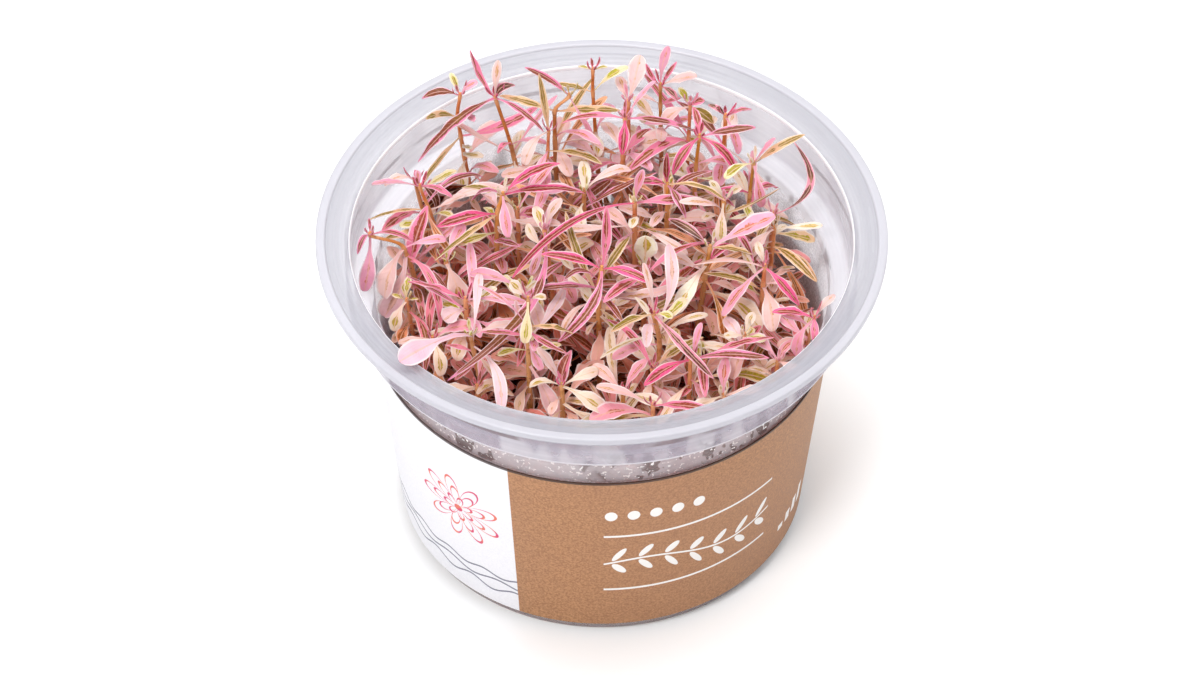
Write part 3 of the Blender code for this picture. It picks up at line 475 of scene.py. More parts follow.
# Broad, wilted and curled leaves seen between the shoots, most of them low: the shoot's number, the
# height on its stem, and the leaf as in the table of shoots
SEEN = (
    (25, 53, 1.6, -9.6, -0.5, 1, 3.6, "pale"), (30, 49, -6.5, 4, -0.5, 0.8, 3.8, "blush"),
    (30, 57.5, 7.5, -0.8, -0.5, 0.8, 3, "olive"), (48, 53.5, -3.7, -2.2, -0.5, 0.6, 3.6, "veil"),
    (48, 55, 3, -1.4, -0.5, 0.6, 3, "blush"), (4, 59, -3.2, 3.4, -0.5, 0.6, 4, "veil"),
    (2, 46, -2, -1.6, -0.5, 0.5, 3.2, "veil"), (46, 55.5, 4.1, 0.7, -0.5, 0.5, 3.6, "rose"),
    (13, 50, -5.3, 5.3, -0.5, 0.8, 4.2, "veil"), (14, 57, -3.9, 7.8, -0.5, 0.8, 3.4, "pale"),
    (1, 48, 1.2, 5.5, -0.5, 0.8, 4, "blush"), (16, 46, -3.2, 7.7, -0.5, 0.8, 5, "veil"),
    (17, 53, -1.5, -3.6, -0.5, 0.5, 4.2, "veil"), (19, 56, -8.8, 2.4, -0.5, 0.8, 4.2, "pale"),
    (15, 53, -0.5, 5.5, -0.5, 0.8, 3.8, "rose"), (17, 44, 5.3, -2.3, -0.5, 0.6, 3.6, "cream"),
    (8, 54.2, -3.5, -7, -7.5, 1, 4.6, "veil", 1.2), (10, 52.5, 6.5, 1.5, 0.5, 1, 3, "dead"),
    (10, 50.5, 3.5, 3, 1, 0.8, 2.6, "dead"), (38, 49.5, -2.8, -2, 2, 0.8, 2.4, "dead"),
    (1, 65, 3.2, 1, 2.6, 1.6, 2.6, "dark"),
)
FRONT_FROM = -14.0
FRONT_SMALL_SHARE = 0.45
FRONT_TINTS = ("cream", "pale", "cream", "pink", "veil", "lime", "rose")
EXTRA_STEP = 1.5
EXTRA_TOP = 57.0
EXTRA_BELOW_TIP = 2.5
EXTRA_BOTTOM = GEL_TOP + 3
EXTRA_REACH = 38.0
EXTRA_CLEARANCE = 0.02
EXTRA_TURNS = (0, 40, -40, 85, -85, 130)
NODE_SPACE = 1.2
STRAPS_FROM = 50.0


def extra_kind(z, front, draw):
    """Which kind of leaf stands at a height."""
    if front and draw.random() < FRONT_SMALL_SHARE:
        return "small"
    if z > STRAPS_FROM:
        return draw.choice(("strap", "strap", "small"))
    return draw.choice(("broad", "broad", "strap", "strap", "small"))


def seen_leaves(plan, placed):
    """The leaves of the table above, each clear of all that stands already, by shoot."""
    out = [[] for _ in plan]
    for number, z, *row in SEEN:
        node = stem_at(plan[number - 1][0], z)
        leaf = grow_leaf(number - 1, node, row, placed, nudges(True), EXTRA_CLEARANCE)
        if leaf:
            out[number - 1].append(leaf)
    return out


def extra_leaves(owner, stem, taken, placed, draw):
    """Pairs of further leaves down a stem, where there is room."""
    z = min(EXTRA_TOP, stem.points[-1].z - EXTRA_BELOW_TIP)
    turn = stem.facing + math.pi / 4
    leaves = []
    while z > EXTRA_BOTTOM:
        if all(abs(z - height) > NODE_SPACE for height in taken):
            node = stem_at(stem, z)
            front = node.y < FRONT_FROM
            kind = KINDS[extra_kind(z, front, draw)]
            for half in (0, math.pi):
                size = draw.uniform(*kind.length)
                angle = turn + half + draw.uniform(-0.5, 0.5)
                slope = math.radians(draw.uniform(*kind.slope))
                reach = polar(size * math.cos(slope), angle, size * math.sin(slope))
                bow, side_bow = size * draw.uniform(-0.04, 0.18), size * draw.uniform(-0.10, 0.10)
                width = size * draw.uniform(*kind.width)
                spec = (*reach, bow, width, draw.choice(FRONT_TINTS if front else kind.tints), side_bow)
                tries = [(math.radians(t), 0, scale) for scale in (1, 0.75) for t in EXTRA_TURNS]
                leaf = grow_leaf(owner, node, spec, placed, tries, EXTRA_CLEARANCE)
                if leaf and math.hypot(leaf.tip.x, leaf.tip.y) < EXTRA_REACH:
                    leaves.append(leaf)
        turn += draw.uniform(0.9, 1.9)
        z -= EXTRA_STEP * draw.uniform(0.8, 1.2)
    return leaves


def link(name, data):
    """A new object in the scene."""
    obj = bpy.data.objects.new(name, data)
    bpy.context.scene.collection.objects.link(obj)
    return obj


def new_mesh(name, points, faces, mats, sharp_degrees=50):
    """A mesh, smooth but for the edges past an angle."""
    mesh = bpy.data.meshes.new(name)
    mesh.from_pydata(points, [], faces)
    for mat in mats:
        mesh.materials.append(mat)
    mesh.shade_smooth()
    mesh.set_sharp_from_angle(angle=math.radians(sharp_degrees))
    return mesh


def stand_in(obj, solid):
    """Puts a visible piece in the place of its solid."""
    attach(obj, "root")
    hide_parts(solid)


class Piece:
    """Points and faces of one visible piece, with what its materials read at each point."""

    def __init__(self):
        self.points, self.faces, self.slots = [], [], []
        self.blade, self.margin, self.middle, self.cover = [], [], [], []
        self.last = None

    def add_faces(self, faces, slot):
        self.faces += faces
        self.slots += [slot] * len(faces)

    def ring(self, slot, points, blades, margin, middle, covers):
        """Adds a ring, with a skin from the ring before it, or with a cap if it is the first."""
        count = len(points)
        here = range(len(self.points), len(self.points) + count)
        self.points += points
        self.blade += blades
        self.margin += [(*margin, 1)] * count
        self.middle += [(*middle, 1)] * count
        self.cover += covers
        self.add_faces([tuple(reversed(here))] if self.last is None else skin(self.last, here), slot)
        self.last = here

    def close(self, slot):
        """Caps the last ring, so that the next one starts anew."""
        self.add_faces([tuple(self.last)], slot)
        self.last = None

    def build(self, name, mats):
        mesh = new_mesh(name, [p * MM for p in self.points], self.faces, mats, 70)
        mesh.polygons.foreach_set("material_index", self.slots)
        for label, kind, key, values in (
            ("blade", "FLOAT_VECTOR", "vector", self.blade), ("margin", "FLOAT_COLOR", "color", self.margin),
            ("middle", "FLOAT_COLOR", "color", self.middle), ("cover", "FLOAT", "value", self.cover),
        ):
            flat = values if kind == "FLOAT" else [c for value in values for c in value]
            mesh.attributes.new(label, kind, "POINT").data.foreach_set(key, flat)
        return link(name, mesh)


def smooth(value):
    """Smooth step from 0 to 1."""
    value = min(1, max(0, value))
    return value * value * (3 - 2 * value)


# Blade forms: width of the stalk as a share of the blade's, where the stalk ends, where the blade is
# widest, the two powers that shape its rounded tip, and half its width as a share of the solid's
Form = namedtuple("Form", "stalk neck widest power root spread")
STRAP = Form(0.26, 0.08, 0.46, 2.6, 0.72, 0.41)
LANCE = Form(0.22, 0.12, 0.52, 2.2, 0.66, 0.41)
SPOON = Form(0.18, 0.20, 0.72, 2.4, 0.52, 0.46)
PADDLE = Form(0.24, 0.52, 0.84, 2.4, 0.50, 0.62)
SPOON_TINTS = ("pale", "cream", "lime", "pink", "peach", "tan", "veil", "blush")


def blade_form(leaf, length):
    """The form of a blade, by its tint and how slender it is."""
    if leaf.tint == "paddle":
        return PADDLE
    if leaf.tint in SPOON_TINTS:
        return SPOON
    return STRAP if leaf.width < 0.2 * length else LANCE


def blade_width(t, form):
    """Share of the full width of a real blade at t: a narrow stalk, a long body and a rounded tip."""
    if t < form.widest:
        return form.stalk + (1 - form.stalk) * smooth((t - form.neck) / (form.widest - form.neck))
    return max(0, 1 - ((t - form.widest) / (1 - form.widest)) ** form.power) ** form.root


# Where a blade's ring has its points, across the top and then back along the underside, and where
# its last rings are
RING_PLACES = [(x, 1) for x in (-1, -0.74, -0.38, 0, 0.38, 0.74, 1)]
RING_PLACES += [(x, -1) for x in (0.74, 0.38, 0, -0.38, -0.74)]
RINGS_PER_MM = 1.3
TIP_FROM = 0.93
TIP_STATIONS = (0.955, 0.982, 0.996)
BLADE_MIDDLE = 0.26
BLADE_EDGE = 0.05

# Leaves low in the cup are drawn towards warmer, darker colours: painted shade, for the light that reaches
# them through the leaves above.
DEEP_FROM = 56.0
DEEP_TO = 38.0
DEEP_SHADE_HUE = srgb(255, 154, 84)
DEEP_SHADE_HEART = srgb(164, 78, 10)
DEEP_SHADE_SHARE = 0.70
DEEP_SHADE_TINTS = {"dead": 0, "veil": 0.4, "cream": 0.6}

# A place past the tip, for a blade whose heart has no gap, and a full turn of its waves in radians
NO_GAP = 9
FULL_TURN = 6.28


def add_blade(piece, leaf, draw, slot):
    """One fine leaf: dished, a little rolled, with waving margins and a sunken midrib."""
    length = (leaf.tip - leaf.root).length
    tint = TINTS[leaf.tint]
    form = blade_form(leaf, length)
    count = max(7, min(26, round(length * RINGS_PER_MM)))
    dish, roll, twist = draw.uniform(0.05, 0.45), draw.uniform(-0.30, 0.30), draw.uniform(-0.6, 0.6)
    wave, waves, phase = draw.uniform(0.03, 0.11), draw.uniform(1.5, 4.0), draw.uniform(0, FULL_TURN)
    sway, curl = draw.uniform(-0.045, 0.045) * length, draw.uniform(-0.08, 0.05) * length
    shade, seed = draw.uniform(0.91, 1.10), draw.random()
    if leaf.tint == "dead":
        dish, twist, curl = draw.uniform(1.2, 1.7), 1.3, 0.42 * length
    # Painted shade: the colours are drawn towards warm shade the lower the leaf stands
    deep_shade = smooth((DEEP_FROM - (leaf.root.z + leaf.tip.z) / 2) / (DEEP_FROM - DEEP_TO))
    deep_shade *= DEEP_SHADE_TINTS.get(leaf.tint, 1)
    margin, middle = (
        tuple(min(1, shade * (c + (w - c) * deep_shade * DEEP_SHADE_SHARE)) for c, w in zip(*pair))
        for pair in ((srgb(*tint.margin), DEEP_SHADE_HUE), (srgb(*tint.heart), DEEP_SHADE_HEART)))
    cover = tint.cover * draw.uniform(0.7, 1.2)
    start = tint.start + draw.uniform(-0.08, 0.15)
    lean = draw.uniform(-0.8, 0.8) if draw.random() < 0.4 else draw.uniform(-0.25, 0.25)
    thin = draw.choice((0, 0.35, 0.7))
    gap = draw.uniform(0.45, 0.85) if draw.random() < 0.35 else NO_GAP
    for t in [TIP_FROM * k / count for k in range(count + 1)] + list(TIP_STATIONS):
        point, side, up = leaf_frame(leaf, t)
        turn = roll * smooth(3 * t) + twist * t * t
        across = side * math.cos(turn) + up * math.sin(turn)
        rise = up * math.cos(turn) - side * math.sin(turn)
        point = point + side * (sway * math.sin(math.pi * t)) + up * (curl * t ** 4)
        half = leaf.width * form.spread * blade_width(t, form)
        depth = min(BLADE_MIDDLE, 0.5 * half + BLADE_EDGE) / 2
        share = smooth((t - start) / 0.14) * smooth((tint.end - t) / 0.10)
        share *= 1 - math.exp(-((t - gap) / 0.06) ** 2)
        ring, blades, covers = [], [], []
        for x, face in RING_PLACES:
            edge = 1 - 0.75 * x * x if abs(x) < 1 else 0
            ripple = wave * half * 2 * x * abs(x) * math.sin(waves * FULL_TURN * t + phase + x)
            groove = 0 if x else (-0.25 if face > 0 else -0.6) * depth
            lift = dish * half * abs(x) ** 1.6 + ripple + face * depth * edge + groove
            ring.append(point + across * (x * half) + rise * lift)
            blades.append((x, t * length, seed))
            covers.append(cover * share * (1 + lean * x) * (1 - thin * (1 - t)))
        piece.ring(slot, ring, blades, margin, middle, covers)
    piece.close(slot)


STEM_SIDES = 9
STEM_HUE_SHARE = 0.50
STEM_MIDDLE_AT = 0.55
NODE_SWELL = 0.30


def smooth_route(points, k, t):
    """Point on a smooth curve through points, on the run from point k, without overshoot."""
    b, c = points[k], points[k + 1]
    span = (c - b).length
    before = (c - points[max(0, k - 1)]).normalized() * span
    after = (points[min(len(points) - 1, k + 2)] - b).normalized() * span
    return (
        b * (2 * t ** 3 - 3 * t ** 2 + 1) + before * (t ** 3 - 2 * t ** 2 + t)
        + c * (3 * t ** 2 - 2 * t ** 3) + after * (t ** 3 - t ** 2)
    )


def stem_colour(rise, shift, hue):
    """Colour of a stem at a share of its height, drawn towards the stem's own hue."""
    share = min(1, max(0, rise + shift))
    low, high, part = STEM_LOW, STEM_MIDDLE, share / STEM_MIDDLE_AT
    if share > STEM_MIDDLE_AT:
        low, high, part = STEM_MIDDLE, STEM_TOP, (share - STEM_MIDDLE_AT) / (1 - STEM_MIDDLE_AT)
    plain = [a + (b - a) * part for a, b in zip(low, high)]
    return tuple(a + (b - a) * STEM_HUE_SHARE for a, b in zip(plain, hue))


def add_stem(piece, stem, heights, draw, slot):
    """One fine stem: round, tapering, swollen at its nodes, from inside the gel to its bud."""
    foot = stem.points[0] - Vector((0, 0, CLEARANCE + 1.0))
    top = stem.points[-1] + Vector((0, 0, BUD * 0.55))
    route = [foot] + stem.points + [top]
    base = STEM_HALF * draw.uniform(0.66, 0.94)
    shift, hue = draw.uniform(-0.25, 0.12), draw.choice(STEM_HUES)
    angles = [2 * math.pi * s / STEM_SIDES for s in range(STEM_SIDES)]
    for k in range(len(route) - 1):
        steps = max(2, round((route[k + 1] - route[k]).length))
        for step in range(steps + (k == len(route) - 2)):
            middle = smooth_route(route, k, step / steps)
            rise = (middle.z - GEL_TOP) / (top.z - GEL_TOP)
            near = min((abs(middle.z - height) for height in heights), default=9)
            radius = base * (1.12 - 0.40 * rise) * (1 + NODE_SWELL * math.exp(-(near / 0.6) ** 2))
            if middle.z > stem.points[-1].z:
                radius *= 1 - 0.6 * (middle.z - stem.points[-1].z) / BUD
            ring = [middle + Vector(polar(1, a, 0)) * radius for a in angles]
            blades = [(math.cos(a), middle.z, math.sin(a)) for a in angles]
            colour = stem_colour(rise, shift, hue)
            piece.ring(slot, ring, blades, colour, colour, [near] * STEM_SIDES)
    piece.close(slot)


def bud_leaves(stem, draw):
    """The tiny young leaves at the tip of a shoot."""
    tip = stem.points[-1] + Vector((0, 0, 0.3))
    tint = draw.choice(("hot", "pink", "cream", "lime", "rose"))
    for level, length in enumerate((2.6, 1.7)):
        for half in (0, math.pi):
            angle = stem.facing + math.pi / 4 + level * math.pi / 2 + half + draw.uniform(-0.3, 0.3)
            reach = polar(length * draw.uniform(0.35, 0.7), angle, length)
            yield make_leaf(tip, reach, -0.15 * length, 0.75 * draw.uniform(0.8, 1.2), tint)


class Graph:
    """Short calls for the nodes of a material."""

    def __init__(self, name):
        self.mat = bpy.data.materials.new(name)
        self.mat.use_nodes = True
        self.nodes = self.mat.node_tree.nodes
        self.shader = self.nodes["Principled BSDF"]

    def put(self, socket, value):
        if isinstance(value, bpy.types.NodeSocket):
            self.mat.node_tree.links.new(value, socket)
        elif value is not None:
            socket.default_value = (*value, 1) if socket.type == "RGBA" and len(value) == 3 else value

    def node(self, kind, inputs=(), **settings):
        """The outputs of a new node."""
        node = self.nodes.new("ShaderNode" + kind)
        for key, value in settings.items():
            setattr(node, key, value)
        for key, value in dict(inputs).items():
            self.put(node.inputs[key], value)
        return node.outputs

    def math(self, operation, a, b=None, c=None, clamp=False):
        return self.node("Math", {0: a, 1: b, 2: c}, operation=operation, use_clamp=clamp)[0]

    def add(self, a, b):
        return self.math("ADD", a, b)

    def minus(self, a, b):
        return self.math("SUBTRACT", a, b)

    def times(self, a, b, more=None, clamp=False):
        """a times b, plus a third value if there is one."""
        return self.math("MULTIPLY" if more is None else "MULTIPLY_ADD", a, b, more, clamp)

    def top(self, first, *others):
        """The largest of some values."""
        for other in others:
            first = self.math("MAXIMUM", first, other)
        return first

    def less(self, a, b):
        return self.math("LESS_THAN", a, b)

    def size(self, value):
        return self.math("ABSOLUTE", value)

    def square_sum(self, a, b):
        return self.add(self.times(a, a), self.times(b, b))

    def step(self, value, low, high, start=0.0, end=1.0):
        """Smooth step of a value from low to high."""
        inputs = {"Value": value, "From Min": low, "From Max": high, "To Min": start, "To Max": end}
        return self.node("MapRange", inputs, interpolation_type="SMOOTHSTEP")[0]

    def band(self, value, span, soft):
        """1 between two values, falling softly to 0 on both sides."""
        low, high = span
        return self.times(self.step(value, low - soft, low), self.step(value, high, high + soft, 1, 0))

    def mix(self, share, a, b, blend="MIX"):
        return self.node("Mix", {0: share, 6: a, 7: b}, data_type="RGBA", blend_type=blend)[2]

    def noise(self, vector, scale, detail=2.0, roughness=0.5):
        inputs = {"Vector": vector, "Scale": scale, "Detail": detail, "Roughness": roughness}
        return self.node("TexNoise", inputs)[0]

    def stretch(self, vector, scale):
        return self.node("Mapping", {"Vector": vector, "Scale": scale})[0]

    def attribute(self, name, kind="Color"):
        return self.node("Attribute", attribute_name=name)[kind]

    def apart(self, vector):
        return self.node("SeparateXYZ", {0: vector})

    def bump(self, height, distance, strength=1.0):
        return self.node("Bump", {"Height": height, "Distance": distance, "Strength": strength})[0]

    def point(self):
        return self.node("TexCoord")["Object"]

    def shade(self, colour, roughness, normal=None, more=()):
        """Sets the shader's inputs and gives the material."""
        self.look = {"Color": colour, "Normal": normal}
        inputs = {"Base Color": colour, "Roughness": roughness, "Normal": normal, **dict(more)}
        for key, value in inputs.items():
            self.put(self.shader.inputs[key], value)
        return self.mat

    def glow(self, share):
        """Lets a share of the light through from the far side, in the same colour."""
        return self.blend(share, self.shader.outputs[0], self.node("BsdfTranslucent", self.look)[0])

    def blend(self, share, a, b):
        """Mixes two shaders and shows the result."""
        both = self.node("MixShader", {0: share, 1: a, 2: b})[0]
        self.put(self.nodes["Material Output"].inputs["Surface"], both)
        return both


def leaf_material():
    """Thin living leaf: pale or pink margin, an irregular darker heart, midrib, veins and mottling, and a
    painted highlight along its edges.
    """
    g = Graph("leaf_tissue")
    place = g.point()
    blade = g.attribute("blade", "Vector")
    parts = g.apart(blade)
    across = g.size(parts[0])
    mottle, drift = g.noise(place, 380), g.noise(place, 200, 1)
    ragged = g.times(g.noise(place, 1500, 3, 0.7), 0.50, -0.25)
    edge = g.add(across, g.add(ragged, g.times(mottle, 0.80, -0.40)))
    inside = g.step(g.minus(g.attribute("cover", "Fac"), edge), -0.03, 0.05)
    fleck = g.step(g.noise(place, 2400), 0.40, 0.70)
    heart = g.mix(g.times(fleck, 0.35), g.attribute("middle"), (0.20, 0.07, 0.02))
    heart = g.mix(g.step(drift, 0.50, 0.72, 0, 0.45), heart, srgb(170, 130, 40))
    margin = g.attribute("margin")
    redder = g.mix(1.0, margin, (1.0, 0.62, 0.78), "MULTIPLY")
    margin = g.mix(g.step(drift, 0.34, 0.58, 0.28, 0), margin, redder)
    colour = g.mix(inside, margin, heart)
    colour = g.mix(g.step(across, 0.04, 0.14, 0.80, 0), colour, g.mix(0.35, MIDRIB, margin))
    # Painted highlight: the blade is lighter along its edges
    colour = g.mix(g.step(across, 0.78, 0.88), colour, g.mix(0.72, margin, (1, 0.95, 0.93)))
    wedge = g.size(g.minus(g.math("FRACT", g.times(across, -1.1, parts[1])), 0.5))
    vein = g.step(wedge, 0.0, 0.16, 1, 0)
    colour = g.mix(g.times(vein, 0.14), colour, (1, 0.78, 0.68))
    fibre = g.noise(g.stretch(blade, (9, 0.5, 40)), 1.0)
    colour = g.mix(0.3, colour, g.mix(fibre, (0.50, 0.40, 0.36), (1.0, 1.0, 1.0)), "MULTIPLY")
    relief = g.times(vein, -0.5, g.times(g.noise(place, 2600), 0.8))
    g.shade(colour, g.step(mottle, 0.2, 0.8, 0.34, 0.50), g.bump(relief, 0.00006, 0.8))
    g.glow(0.42)
    return g.mat


def stem_material():
    """Juicy stem: orange brown with long fibres, a few specks and pinker nodes."""
    g = Graph("stem_tissue")
    place = g.point()
    colour = g.attribute("margin")
    fibre = g.noise(g.stretch(g.attribute("blade", "Vector"), (3.0, 0.16, 3.0)), 1.6, 3)
    colour = g.mix(g.step(fibre, 0.35, 0.7, 0.0, 0.75), colour, g.mix(0.5, colour, srgb(120, 62, 20)))
    near = g.step(g.attribute("cover", "Fac"), 0.2, 1.4, 0.55, 0)
    colour = g.mix(near, colour, srgb(232, 176, 128))
    speck = g.step(g.noise(place, 1900, 1), 0.66, 0.74, 0, 0.6)
    colour = g.mix(speck, colour, srgb(110, 46, 26))
    roughness = g.step(g.noise(place, 800), 0.2, 0.8, 0.30, 0.46)
    return g.shade(colour, roughness, g.bump(g.add(fibre, speck), 0.00008, 0.7), {
        "Subsurface Weight": 0.12, "Subsurface Radius": (0.9, 0.45, 0.2), "Subsurface Scale": 0.0006})


def build_plants():
    """Every shoot as one fine piece in place of its solid."""
    mats = [stem_material(), leaf_material()]
    plan, placed = plan_shoots()
    seen = seen_leaves(plan, placed)
    for owner, (stem, grown) in enumerate(plan):
        draw = random.Random(SEED * 100 + owner)
        heights = [z for z, _ in grown]
        extra = extra_leaves(owner, stem, heights, placed, draw)
        leaves = [leaf for _, leaf in grown] + seen[owner] + extra
        piece = Piece()
        joints = sorted({round(leaf.root.z, 2) for leaf in leaves})
        add_stem(piece, stem, joints, draw, 0)
        for leaf in leaves + list(bud_leaves(stem, draw)):
            add_blade(piece, leaf, draw, 1)
        stand_in(piece.build(f"plant_{owner + 1:02d}", mats), f"shoot_{owner + 1:02d}")


def turned(name, profile, segments, mat):
    """A solid of revolution. The profile starts and ends on the axis, with the solid on its left."""
    points, rings, faces = [], [], []
    for radius, z in profile:
        count = segments if radius else 1
        rings.append(range(len(points), len(points) + count))
        for k in range(count):
            points.append([c * MM for c in polar(radius, 2 * math.pi * k / segments, z)])
    for low, high in zip(rings, rings[1:]):
        faces += skin(low, high)
    return link(name, new_mesh(name, points, faces, [mat]))


def rounded(corners, steps=4):
    """A profile with its corners rounded. Each corner is (radius, z, how far the rounding reaches)."""
    out = []
    for k, (r, z, reach) in enumerate(corners):
        if reach == 0:
            out.append((r, z))
            continue
        here = Vector((r, z))
        first, last = (
            here + (Vector(corners[k + side][:2]) - here).normalized() * reach for side in (-1, 1))
        for s in range(steps + 1):
            t = s / steps
            out.append(tuple(first * (1 - t) ** 2 + here * 2 * t * (1 - t) + last * t * t))
    return out


CUP_SEGMENTS = 192
BODY_MIDDLE = 25
RIM_GROOVES = (44.6, 43.7, 42.8)
GROOVE_HALF = 0.22
GROOVE_DEPTH = 0.10


def cup_profile():
    """Half section of the cup, with rounded corners and faint turning grooves on its rim."""
    lip_foot = HEIGHT - LIP_HEIGHT
    collar_in = COLLAR_RADIUS - WALL
    outside = [
        (0, 0, 0), (FOOT_RADIUS - 0.4, 0, 0.5), (body_radius(1.2), 1.2, 0.3),
        (body_radius(BODY_MIDDLE), BODY_MIDDLE, 0),
        (BODY_TOP_RADIUS, BODY_TOP, 0.3), (COLLAR_RADIUS, BODY_TOP + 0.1, 0.7),
        (COLLAR_RADIUS, COLLAR_TOP - 0.1, 0.4), (RIM_RADIUS - 0.3, lip_foot - 0.35, 0.25),
        (RIM_RADIUS, lip_foot + 0.1, 0.25), (RIM_RADIUS, HEIGHT, 0.4), (RIM_RADIUS - 1.5, HEIGHT, 0.35),
    ]
    inner_rim = (RIM_RADIUS - 1.7, HEIGHT - 0.45)
    mouth = (collar_in, COLLAR_TOP + 0.75)
    slope = [(*inner_rim, 0.2)]
    for radius in RIM_GROOVES:
        for offset, depth in ((GROOVE_HALF, 0), (0, GROOVE_DEPTH), (-GROOVE_HALF, 0)):
            share = (inner_rim[0] - radius - offset) / (inner_rim[0] - mouth[0])
            slope.append((radius + offset, inner_rim[1] + (mouth[1] - inner_rim[1]) * share - depth, 0))
    inside = [
        (*mouth, 0.35), (collar_in - COLLAR_DRAFT, BODY_TOP + WALL + 0.2, 0.7),
        (BODY_TOP_RADIUS - WALL + 0.1, BODY_TOP + WALL, 0.35),
        (body_radius(BODY_MIDDLE) - WALL, BODY_MIDDLE, 0),
        (body_radius(WALL) - WALL, WALL, 1.2), (0, WALL, 0),
    ]
    return rounded(outside + slope + inside)


# Where the plastic's marks are, painted highlights and painted shade among them: radii on the rim, and
# heights on the collar, on the ring at its foot and on the open strip of the body between the sleeve and the
# collar
MOUTH_EDGE_HIGHLIGHT = (41.6, 41.95)
MOUTH_CREASE_SHADE = (42.12, 42.24)
COLLAR_OUTSIDE = (42.3, 42.5)
COLLAR_SHADOW_LINE = (54.1, 54.9)
COLLAR_SHADE_BAND = (BODY_TOP + 0.8, COLLAR_TOP - 0.4)
RIDGE_HIGHLIGHT_BAND = (BODY_TOP, BODY_TOP + 0.7)
STRIP_BAND = (SLEEVE_TOP + 0.3, BODY_TOP - 1.4)


